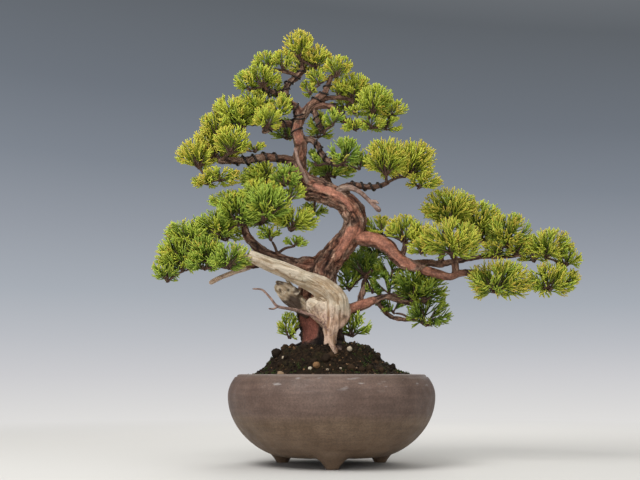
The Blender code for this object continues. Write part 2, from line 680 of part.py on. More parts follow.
def shoots_of(tuft, base, phase):
    """A tuft's shoots: one straight up through it, and on a large tuft others that fork off it."""
    middle = Vector(tuft[:3])
    axes = tuft[3:6]
    size = (axes[0] * axes[1] * axes[2]) ** (1 / 3)
    count = max(1, round(size * size / SHOOT_AREA))
    inset = 1 - 0.8 * needle_length(tuft) / size
    top = middle + Vector((0, 0, axes[2] * inset))
    shoots = [(base, top)]
    for index in range(1, count):
        part = index / (count - 1)
        rise = 0.62 - part * (0.62 - LOWEST_SHOOT)
        flat = math.sqrt(1 - rise * rise)
        turn = phase + index * GOLDEN_ANGLE
        reach = Vector((axes[0] * flat * math.cos(turn), axes[1] * flat * math.sin(turn), axes[2] * rise))
        fork = base.lerp(top, LAST_FORK + part * (FIRST_FORK - LAST_FORK))
        shoots.append((fork, middle + reach * inset))
    return shoots


def crosses(start, end, rods, owner):
    """Whether a shoot would come too near wood or another spray."""
    points = [start.lerp(end, share) for share in (0.35, 0.5, 0.65, 0.8, 1.0)]
    gaps = rods.gaps(points)
    wood = np.array([name.startswith(("trunk", "jin", "wire")) for name in rods.owners])
    other = np.array([name != owner for name in rods.owners]) & ~wood
    near_wood = wood.any() and gaps[:, wood].min() < SHOOT_RADIUS + WOOD_MARGIN
    return near_wood or (other.any() and gaps[:, other].min() < SHOOT_SPACING)


def plan_foliage():
    """Stems and shoots of every spray, so placed that no two sprays cross."""
    rods = wood_rods()
    plan = {}
    for name, (root, tufts) in FOLIAGE.items():
        stems = stems_of(root, [tuft_base(tuft, root) for tuft in tufts])
        plan[name] = (stems, [])
        for stem in stems:
            rods.add_rows(stem, name)
    for number, (name, (root, tufts)) in enumerate(FOLIAGE.items()):
        for index, tuft in enumerate(tufts):
            base = tuft_base(tuft, root)
            for start, end in shoots_of(tuft, base, number * 1.3 + index * 0.7):
                for share in (1.0, 0.8, 0.6):
                    tip = start.lerp(end, share)
                    if (tip - start).length > SHOOT_SHORTEST and not crosses(start, tip, rods, name):
                        plan[name][1].append((start, tip, needle_length(tuft)))
                        rods.add(start, tip, (0, 0), name)
                        break
    return plan, rods


def needle_share(root, needle, start, end, rods, owner):
    """How much of its length a needle keeps so that it crosses nothing."""
    wood = np.array([name.startswith(("trunk", "jin", "wire")) for name in rods.owners])
    own = np.array([name == owner for name in rods.owners])
    itself = np.array([
        Vector(first) == start and Vector(last) == end
        for first, last in zip(rods.starts, rods.ends)])
    this = Rods()
    this.add(start, end, (0, 0), owner)
    for share in NEEDLE_TRIES:
        points = [root + needle * share * part for part in (0.4, 0.7, 1.0)]
        gaps = rods.gaps(points)
        mine = this.gaps(points)
        clear_wood = gaps[:, wood].min() > WOOD_MARGIN
        clear_others = (gaps[:, ~wood & ~own] - mine).min() > OTHER_MARGIN
        kin = gaps[:, own & ~itself]
        clear_kin = kin.shape[1] == 0 or (kin - mine).min() > OWN_MARGIN
        if clear_wood and clear_others and clear_kin:
            return share
    return 0.0


def build_shoot(start, end, longest, rods, owner, twist_start):
    """A slim three-sided shoot with a needle raised from each side face and from its tip."""
    length = (end - start).length
    bare = max(BARE_LENGTH, length - RINGS * RING_LENGTH)
    bm = bmesh.new()
    bmesh.ops.create_cone(
        bm, cap_ends=True, segments=3, radius1=SHOOT_RADIUS, radius2=SHOOT_RADIUS,
        depth=length, matrix=Matrix.Translation((0, 0, length / 2)))
    long_edges = [edge for edge in bm.edges if abs(edge.verts[0].co.z - edge.verts[1].co.z) > length / 2]
    bmesh.ops.subdivide_edges(bm, edges=long_edges, cuts=RINGS, use_grid_fill=True)
    for vert in bm.verts:
        level = round(vert.co.z / length * (RINGS + 1))
        thick = 1 - 0.35 * level / (RINGS + 1)
        if level == 0:
            thick = SHOOT_ROOT_RADIUS / SHOOT_RADIUS
        else:
            vert.co.z = bare + (length - bare) * (level - 1) / RINGS
        vert.co.xy = vert.co.xy.normalized() * SHOOT_RADIUS * thick
        turn = twist_start + math.radians(SHOOT_TWIST) * level
        vert.co = Matrix.Rotation(turn, 3, "Z") @ vert.co
    sides = [
        face for face in bm.faces
        if len(face.verts) == 4 and face.calc_center_median().z > bare]
    tip = [face for face in bm.faces if face.calc_center_median().z > length * 0.999]
    poked = bmesh.ops.poke(bm, faces=sides + tip)["verts"]
    place = Matrix.Translation(start) @ (end - start).to_track_quat("Z", "Y").to_matrix().to_4x4()
    for vert in poked:
        outward = Vector((vert.co.x, vert.co.y, 0))
        up = (vert.co.z - bare) / (length - bare)
        lean = math.radians(NEEDLE_LEAN[0] + (NEEDLE_LEAN[1] - NEEDLE_LEAN[0]) * up)
        if vert.co.z > length * 0.999:
            way = Vector((0, 0, 1))
        else:
            way = outward.normalized() * math.cos(lean) + Vector((0, 0, math.sin(lean)))
        needle = place.to_3x3() @ way * longest
        share = needle_share(place @ vert.co, needle, start, end, rods, owner)
        vert.co += way * max(longest * share, NEEDLE_STUB)
    bmesh.ops.transform(bm, matrix=place, verts=bm.verts)
    bmesh.ops.triangulate(bm, faces=bm.faces)
    return mesh_object("shoot", bm)


def build_spray(name, stems, shoots, rods, cutters):
    """One spray of foliage in one body, cut clear of the wood that carries it."""
    pieces = [tube("stem", stem, 0) for stem in stems]
    for number, (start, end, longest) in enumerate(shoots):
        pieces.append(build_shoot(start, end, longest, rods, name, number * 0.9))
    spray = joined(name, pieces)
    cut(spray, cutters)
    close_slivers(keep_largest(spray), TWIG_SLIVER)
    colour = (0.075, 0.135, 0.035) if name in DEEP_GREEN else (0.16, 0.24, 0.05)
    look = material("deep_green" if name in DEEP_GREEN else "green", colour, 0.6)
    return finish(spray, name, look)


def centre_on_footprint(pieces):
    """Hang the pieces from one empty that puts the middle of their footprint at the origin."""
    corners = np.array([vert.co for piece in pieces for vert in piece.data.vertices])
    low, high = corners.min(axis=0), corners.max(axis=0)
    holder = bpy.data.objects.new("bonsai", None)
    holder.location = (-(low[0] + high[0]) / 2, -(low[1] + high[1]) / 2, -low[2])
    group = bpy.data.collections.new("itoigawa_juniper_bonsai")
    bpy.context.scene.collection.children.link(group)
    group.objects.link(holder)
    for piece in pieces:
        piece.parent = holder
        group.objects.link(piece)
        bpy.context.scene.collection.objects.unlink(piece)


def main():
    empty_the_scene()
    trunk = build_trunk("trunk")
    near_trunk = build_trunk("trunk_cutter", CLEARANCE)
    jins = {name: build_jin(name) for name in JINS}
    near_jins = {name: build_jin(name, CLEARANCE) for name in ("jin_main", "jin_peg")}
    pieces = [build_pot(), build_drainage_mesh(), trunk]
    pieces.append(build_soil([near_trunk, near_jins["jin_main"]]))
    for number, jin in enumerate(jins.values()):
        larger = list(near_jins.values())[:number]
        cut(jin, [near_trunk, *larger])
        pieces.append(close_slivers(keep_largest(jin)))
    pieces += [build_wire(name) for name in WIRES]
    plan, rods = plan_foliage()
    for name, (stems, shoots) in plan.items():
        pieces.append(build_spray(name, stems, shoots, rods, [near_trunk]))
    for cutter in [near_trunk, *near_jins.values()]:
        bpy.data.objects.remove(cutter)
    centre_on_footprint(pieces)


main()
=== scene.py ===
"""Looks of the itoigawa juniper bonsai in its round unglazed pot.

Lengths in the tables are millimetres about the axis of the pot, with Z = 0 under its feet,
+X to the right and -Y to the front. Pieces are built there and moved to the frame by AXIS.
"""
import math

import bmesh
import bpy
import numpy as np
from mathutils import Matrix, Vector


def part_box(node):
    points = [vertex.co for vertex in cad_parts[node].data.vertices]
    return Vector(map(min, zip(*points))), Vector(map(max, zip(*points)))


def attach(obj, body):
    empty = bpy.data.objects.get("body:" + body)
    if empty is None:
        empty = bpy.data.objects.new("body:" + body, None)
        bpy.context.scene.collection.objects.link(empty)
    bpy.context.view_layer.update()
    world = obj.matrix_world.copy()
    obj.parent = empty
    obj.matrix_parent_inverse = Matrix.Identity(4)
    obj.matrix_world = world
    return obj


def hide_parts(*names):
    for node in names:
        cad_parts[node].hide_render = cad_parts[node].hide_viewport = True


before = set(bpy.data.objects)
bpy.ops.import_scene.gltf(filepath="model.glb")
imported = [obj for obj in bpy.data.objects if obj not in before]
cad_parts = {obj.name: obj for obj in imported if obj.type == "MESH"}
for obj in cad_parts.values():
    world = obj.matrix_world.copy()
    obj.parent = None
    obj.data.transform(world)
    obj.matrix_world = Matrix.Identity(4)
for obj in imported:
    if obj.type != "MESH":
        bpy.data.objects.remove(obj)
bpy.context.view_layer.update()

BODY = "root"
MM = 0.001
GOLDEN_ANGLE = math.pi * (3 - math.sqrt(5))
pot_low, pot_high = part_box("pot")
AXIS = np.array([(pot_low[0] + pot_high[0]) / 2, (pot_low[1] + pot_high[1]) / 2, 0])

# Camera
CAMERA_PLACE = (-10.0, -950.0, 76.8)
CAMERA_TILT = 7.125
CAMERA_LENS = 60.75

# Floor: metres over which it turns from a lit surface to the backdrop's own glow
FLOOR_NEAR = 0.40
FLOOR_FAR = 1.05
FLOOR_GLOW = (0.86, 0.84, 0.795)
HORIZON = (0.60, 0.60, 0.62)
SKY_LEAN = 0.4
SKY = [
    (0.0, HORIZON), (0.03, (0.50, 0.515, 0.55)), (0.07, (0.39, 0.42, 0.465)),
    (0.125, (0.295, 0.32, 0.365)), (0.18, (0.21, 0.235, 0.275)), (0.24, (0.155, 0.175, 0.205)),
    (0.33, (0.113, 0.125, 0.14)), (0.55, (0.30, 0.31, 0.32)), (0.75, (0.85, 0.85, 0.85))]
FLOOR_HALF = 60000.0

# Softboxes: name, place, size, power and the place that each looks at
SOFTBOXES = [
    ("key_softbox", (-520, -620, 1000), 700, 11, (0, 0, 190)),
    ("fill_softbox", (700, -500, 450), 600, 0.8, (0, 0, 190)),
    ("low_softbox", (-200, -900, 60), 400, 2.8, (0, 0, 40)),
    ("back_softbox", (200, 800, 700), 700, 4, (0, 0, 190)),
]

# Colours of each foliage, deep to bright with its golden tips, the second set a darker copy that paints
# shade on the sprays low under the canopy and behind it, and of each deadwood: pale, tan, shadow
GREEN = [(0.12, 0.17, 0.016), (0.285, 0.35, 0.030), (0.49, 0.52, 0.060), (0.64, 0.35, 0.065)]
PAINTED_SHADE_GREEN = [(0.050, 0.082, 0.007), (0.130, 0.180, 0.014), (0.27, 0.31, 0.028), (0.40, 0.30, 0.04)]
BLEACHED = [(0.63, 0.53, 0.40), (0.36, 0.25, 0.145), (0.11, 0.07, 0.045)]
GREY = [(0.37, 0.275, 0.22), (0.20, 0.125, 0.09), (0.055, 0.035, 0.027)]

# Pot
BELLY_RADIUS = 90.0
BELLY_Z = 59.0
RIM_Z = 77.5
RIM_DRAW_IN = 8.0
FOOT_HEIGHT = 8.0
BASE_RADIUS = 46.0
WALL = 5.5
FLOOR_Z = 15.0
DRAIN_RADIUS = 9.5
POT_STEPS = 160
FOOT_CIRCLE = 50.0
FOOT_ANGLES = (-90, 30, 150)
FOOT_OUTLINE = [
    (5.1, 0), (5.7, 1), (6.6, 3), (8.2, 5.2), (10.6, 7.4), (13.5, 9.6), (16.5, 11.8), (17.5, 15)]
BAND_Z = 43.0

# Soil
SOIL_RADIUS = 78.2
SOIL_LEFT = [
    (0, 103), (25, 101.5), (41.5, 100), (44, 98), (49, 92.5), (54, 89), (58, 83), (66, 78), (78.2, 73.5)]
SOIL_RIGHT = [
    (0, 103), (21, 104), (32, 101.5), (35, 99), (40, 91.5), (49, 85), (58, 80), (66, 77.5), (78.2, 73.5)]
DIP = (4, -30, 9, 20)
DIP_DEPTH = 9.5
SOIL_RINGS = 68
SOIL_STEPS = 150
GRAINS = 2900
CLODS = 46
MOSS_TUFTS = 210
MOSS_BLADES = 7
MOSS_PATCH = (52, -28, 9)

# Pebbles: x, y, radius and tone
PEBBLES = [
    (-18, -57, 1.4, 1.0), (-13, -55, 2.5, 0.97), (-42, -60, 3.6, 0.98), (-28, -68, 1.4, 0.965),
    (-41, -29, 1.4, 0.99), (15, -32, 2.1, 0.99), (-4, -60, 1.0, 0.99), (7, -57, 0.9, 0.99),
    (-47, -14, 4.6, 0.42), (30, 62, 2.2, 0.985), (-40, 52, 1.8, 0.97), (58, 20, 1.7, 0.99),
    (-2, 66, 1.4, 1.0)]

# Wood: every row is x, y, z, radius
TRUNK = [
    (-7, 4, 72, 17), (-7, 4, 88, 18), (-7, 4, 100, 19), (-8, 5, 114, 17.5), (-12, 6, 130, 17),
    (-14, 8, 146, 16), (-10, 9, 161, 13.5), (-4, 8, 175, 11.5), (6.5, 5, 187, 10.3), (15, 2, 198, 10),
    (20.5, 0, 208, 10), (20.5, -2, 218, 10), (15.5, -3, 226.5, 9.6), (5.5, -3, 232.5, 9.4),
    (-6, -1, 237, 10), (-16, 2, 241, 10.5), (-25, 5, 248, 9.4), (-30, 6, 258, 7.6),
    (-29, 5, 269, 5.9), (-27, 4, 279, 5.4), (-29, 3, 288, 5.2), (-31, 2, 298, 4.8),
    (-28, 0, 308, 4.5), (-31, 0, 315, 3.9), (-39, 1, 321, 3.4), (-41, 2, 331, 3.0),
    (-38, 2, 339, 2.7), (-31, 1, 344, 2.5), (-26, 0, 351, 2.2), (-27, 0, 360, 1.8),
]
BRANCHES = {
    "left_low": [
        (-14, 12, 168, 5), (-28, 14, 172, 4.4), (-42, 12, 175, 4), (-56, 9, 176, 3.4),
        (-69, 5, 174, 3), (-81, 2, 170, 2.6), (-93, 0, 172, 2.2), (-105, 0, 173, 1.9),
    ],
    "left_mid": [
        (-10, 9, 172, 7.5), (-20, 8, 174, 6.5), (-32, 7, 175, 5.2), (-47, 6, 180, 4.5),
        (-60, 4, 185.5, 4.1), (-70, 3, 193.5, 3.8), (-76, 2, 202, 3.4), (-77, 1, 210, 2.6),
    ],
    "left_inner": [(-28, 6, 251, 4), (-37, 10, 253, 3), (-46, 12, 252, 2.2)],
    "left_high": [
        (-29, 5, 266, 4.8), (-39, 4, 268.5, 4), (-50, 2, 269.5, 3.7), (-60, 0, 270, 3.5),
        (-71, 0, 268, 3.3), (-82, 0, 267, 3), (-91, -1, 267, 2.6), (-99, -2, 266, 2.2),
    ],
    "shoulder_left": [
        (-30, 3, 297, 3.7), (-37, 2, 301, 3.2), (-44, 0, 300.5, 3), (-52, -2, 297, 2.5),
        (-60, -3, 293, 2.1),
    ],
    "crown_left": [(-41, 2, 330, 2.6), (-48, 1, 329, 2.2), (-55, 0, 331, 2), (-62, 0, 335, 1.6)],
    "crown_left_top": [(-30, 1, 344, 2), (-37, 1, 348, 1.7), (-45, 0, 350, 1.3)],
    "crown_right": [
        (-27, 0, 307, 4), (-20, -2, 315, 3.9), (-13, -3, 322, 3.4), (-6, -4, 328, 2.6),
        (-3, -4, 335, 2.2), (0, -4, 343, 1.7),
    ],
    "shoulder_right": [
        (-20, -2, 316, 3.4), (-10, -2, 317, 3), (0, -1, 316, 2.7), (7, 0, 311, 2.6),
        (14, 0, 303, 2.5), (24, 0, 301, 2.2), (33, 0, 302, 1.8),
    ],
    "crown_right_back": [(-10, -3, 322, 2.4), (1, 0, 325, 2), (12, 2, 325, 1.7), (20, 3, 323, 1.4)],
    "inner_right": [
        (-25, 3, 288, 3.2), (-18, 2, 286.5, 2.7), (-12, 0, 281.5, 2.6), (-9, -1, 275, 2.4),
        (-5, -2, 269, 2.2), (1, -2, 265, 1.9), (6, -2, 262, 1.6),
    ],
    "inner_top": [(-15, -2, 316, 2.6), (-14, 0, 308, 2.3), (-10, 2, 299, 2), (-6, 3, 292, 1.5)],
    "back_mid": [(-1, 0, 237, 4), (0, 20, 246, 3.4), (-2, 38, 255, 2.6), (-3, 52, 263, 2)],
    "back_high": [(-28, 4, 276, 3), (-25, 20, 286, 2.4), (-19, 34, 296, 1.7)],
    "back_low": [(-1, 8, 177, 5), (4, 26, 182, 3.8), (10, 44, 184, 3), (18, 58, 182, 2.2)],
    "right_high": [
        (2, -2, 236, 3.8), (11, -2, 243, 2.8), (20, -2, 244.5, 2.4), (30, -3, 243, 2.2),
        (41, -4, 243, 2.1), (50, -5, 246, 1.8),
    ],
    "right_main": [
        (16, 0, 200, 7), (28, 0, 197, 6.5), (40, 0, 194.5, 5.9), (50, -2, 189.5, 5.7),
        (56, -4, 182, 5.6), (63, -5, 175.5, 5.3), (72, -6, 172, 4.8), (83, -7, 167.5, 4.2),
        (93, -8, 164.5, 3.7), (103, -9, 162, 3.2), (112, -8, 165, 3), (121, -8, 166, 2.8),
        (132, -8, 165, 2.2),
    ],
    "right_front": [(109, -8, 166, 3), (108, -11, 175, 2.6), (107, -14, 181, 2)],
    "right_back": [
        (68, -4, 174, 3.6), (85, 4, 176, 3), (97, 10, 175, 2.8), (111, 15, 178, 2.6),
        (125, 18, 181, 2.4), (139, 18, 183, 2.2), (152, 14, 182, 2), (164, 8, 182, 1.8),
        (175, 4, 184, 1.5),
    ],
    "right_inner": [(61, -4, 179, 2.8), (65, 0, 188, 2.2), (65, 2, 195, 1.8)],
    "right_top": [(97, 10, 175, 2.4), (100, 14, 186, 2.2), (102, 16, 199, 2), (103, 14, 210, 1.6)],
    "right_rise": [(125, 18, 181, 2.2), (129, 21, 189, 1.8), (133, 22, 196, 1.5)],
    "right_mid": [(146, 16, 183, 2), (151, 13, 187, 1.7), (154, 10, 191, 1.4)],
    "low_right": [
        (-3, 5, 125, 7), (8, 5, 130, 6), (18, 7, 135, 5), (30, 9, 139.5, 4.4), (39, 11, 143, 3.4),
        (50, 12, 146, 2.8), (60, 12, 143, 2.4), (70, 11, 140, 2),
    ],
    "low_right_under": [
        (40, 12, 143, 2.2), (46, 13, 135, 2), (53, 14, 128.5, 1.8), (63, 13, 126, 1.6),
        (72, 12, 126, 1.4),
    ],
    "low_right_up": [(24, 9, 138, 2.8), (28, 14, 151, 2.4), (31, 19, 163, 2), (37, 22, 170, 1.6)],
}
ROOT_COUNT = 5
ROOT_START = 20
ROOT_PATH = [(8, 102.5, 9.5), (19, 99.5, 6.5), (31, 95, 4.8), (44, 83, 3.2), (54, 68, 2.2)]
TRUNK_VOXEL = 0.9
THREAD_BEND = 0.4
TUBE_SIDES = 20
BARK_TWIST = 0.011
JIN_TWIST = 0.006
PATCH = (-21.5, 119, 12.5, 15)

# Bare smooth veins of living bark between the flaking strips: x, y, z and half the width
VEINS = [
    [(-3, -11, 158, 3.2), (3, -9, 172, 4.6), (9, -8, 186, 5.2), (16, -10, 199, 5), (22, -8, 203, 4.4)],
    [(17, -9, 202, 4.6), (30, -8, 198, 7), (42, -7, 196, 7), (54, -9, 186, 6), (60, -10, 179, 5),
     (70, -11, 172, 3.6)],
    [(84, -11, 167, 4.2), (103, -12, 161, 4.8), (114, -10, 165, 3.6)],
    [(17, -13, 221, 1.8), (10, -14, 231, 2.8), (-3, -12, 239, 3.2), (-14, -8, 243, 2.2)],
    [(12, 0, 133, 4), (26, 4, 139, 4), (38, 7, 143, 3)],
    [(-31, -4, 298, 3.5), (-29, -3, 285, 3)],
]

# Deadwood: rows of each tube that its form is melted from
JINS = {
    "jin_main": [
        [(-72, -26, 179.5, 5.2), (-63, -24, 175.5, 6.1), (-52, -21, 171, 6.5), (-40, -18.5, 166.5, 6.9),
         (-28, -16, 161, 7.6), (-16, -14.5, 155.5, 8.6), (-5, -13, 150, 9.4), (2.5, -11, 144, 9.8),
         (6, -10, 136, 9.2), (7, -9.5, 128, 7.5), (6, -9.5, 121, 5)],
        [(-18, -12, 141, 6), (-15, -14, 135.5, 8), (-9, -14.5, 130, 8.6), (-4, -15, 123, 7),
         (-1.5, -16, 117, 5.6), (-1, -16.5, 111, 4.8), (-1, -17, 106, 4.3), (-0.5, -17.5, 101, 4),
         (2, -18, 97, 3.5), (4.5, -19, 92, 2.2)],
        [(-5, -12, 139, 9), (-1, -13, 131, 9), (1, -14, 124, 7), (2, -15, 117, 4.5), (1, -15.5, 110, 3.4),
         (1, -16, 104, 3)],
        [(10, -9, 136, 6.4), (12, -9.5, 129, 5.4), (10, -11, 123, 4), (6, -12, 118, 2.5)],
        [(-5, -17, 116, 2.6), (-4, -18, 109, 2), (-4.5, -18.5, 103, 2), (-1.5, -19, 98, 1.6)],
        [(-74, -27, 181, 3.4), (-80, -28, 183.5, 1.6)],
        [(-73, -25, 177, 3.6), (-78, -25.5, 177.5, 2)],
    ],
    "jin_peg": [
        [(-16, -2, 129, 7), (-24, -4, 135, 7), (-33, -6, 142, 6.8), (-41, -8, 148.5, 6),
         (-46, -9, 152.5, 4)],
        [(-29, -9, 147, 3.6), (-39, -11, 153.5, 3), (-47, -12, 157, 1.8)],
        [(-20, -8, 128, 3.2), (-30, -9, 134, 3), (-40, -10.5, 141, 2.6), (-46, -11, 147, 1.6)],
        [(-34, -3, 152, 2), (-38, -4, 158, 1.4), (-41, -4, 163, 0.9)],
    ],
    "jin_twig": [
        [(-15, -6, 130, 2), (-22, -9, 131.5, 1.9), (-30, -12, 132.5, 1.6), (-38, -14, 134, 1.4),
         (-47, -16, 136, 1.2), (-53, -16, 143, 1), (-60, -15, 150, 0.9), (-68, -14, 151, 0.6)],
        [(-46, -16, 135.8, 1), (-50, -17, 133.5, 0.9), (-54, -17.5, 133.6, 0.7)],
        [(-30, -12, 132.5, 1.5), (-23, -18, 129.8, 1.4), (-15, -22.5, 126.5, 1.3), (-9, -23.5, 121.5, 1)],
    ],
    "jin_spike": [[
        (-17, -1, 238, 2.6), (-20, -4, 243, 2.2), (-25, -9, 255, 1.7), (-29, -10, 264, 1.5),
        (-32, -10, 275.5, 1.1)]],
    "jin_stub": [
        [(1, -6, 235, 4.2), (5, -8, 238, 3.6), (10, -9, 240, 2.9), (17, -10.5, 240.5, 2.5),
         (25, -12, 236.5, 2.2), (32, -13, 230, 2), (38, -13, 224, 2.2), (41.5, -13, 220.5, 2.4)],
        [(33, -13, 227.5, 1.7), (38, -15, 228, 1.3), (41, -15.5, 226, 0.9)],
    ],
    "jin_stick": [[
        (-72, 4, 172, 2.2), (-77, 2, 170, 2.3), (-87, -4, 166, 2.2), (-98, -8, 161, 2),
        (-105, -10, 157, 1.8)]],
}
GRAIN_GUIDES = {
    "jin_main": [[
        (-72, -26, 179.5, 5.2), (-52, -21, 171, 6.5), (-28, -16, 161, 7.6), (-11, -14, 153, 9),
        (-1, -13, 143, 9.5), (1, -13.5, 131, 8.5), (0, -15, 117, 6), (0.5, -17, 105, 4.4),
        (3, -19, 94, 2.5)]],
}
JIN_VOXEL = {"jin_main": 0.6, "jin_peg": 0.6}
THIN_VOXEL = 0.45
KNOT = (-12, -22, 134)
KNOT_RADIUS = 3.2
# A hole on the main jin that is painted dark: painted shade.
HOLLOW = (12, -16, 126)
TAN_SPOTS = [(-10, -20, 150, 13), (1, -18, 151, 12), (6, -15, 146, 12), (-22, -18, 153, 9)]

# Training wires: branch, where the coil starts and ends along it (0 to 1), turns
WIRES = {
    "wire_right_high": ("right_high", 0.36, 0.88, 3.5),
    "wire_left_high": ("left_high", 0.28, 0.80, 4.0),
    "wire_shoulder_right": ("shoulder_right", 0.34, 0.84, 3.0),
}
FREE_WIRES = {
    "wire_leader": ("trunk", 0.80, 0.985, 8.5),
    "wire_leader_foot": ("trunk", 0.755, 0.83, 2.5),
    "wire_crown_left": ("crown_left", 0.10, 0.95, 3.0),
    "wire_shoulder_left": ("shoulder_left", 0.15, 0.95, 3.5),
    "wire_crown_right": ("crown_right", 0.35, 0.95, 3.5),
    "wire_inner_right": ("inner_right", 0.25, 0.95, 4.0),
    "wire_inner_top": ("inner_top", 0.15, 0.85, 3.0),
}
WIRE_RADIUS = 1.05
THIN_WIRE_RADIUS = 0.8
WIRE_GAP = 0.1
WIRE_STEPS = 22
WIRE_SIDES = 8

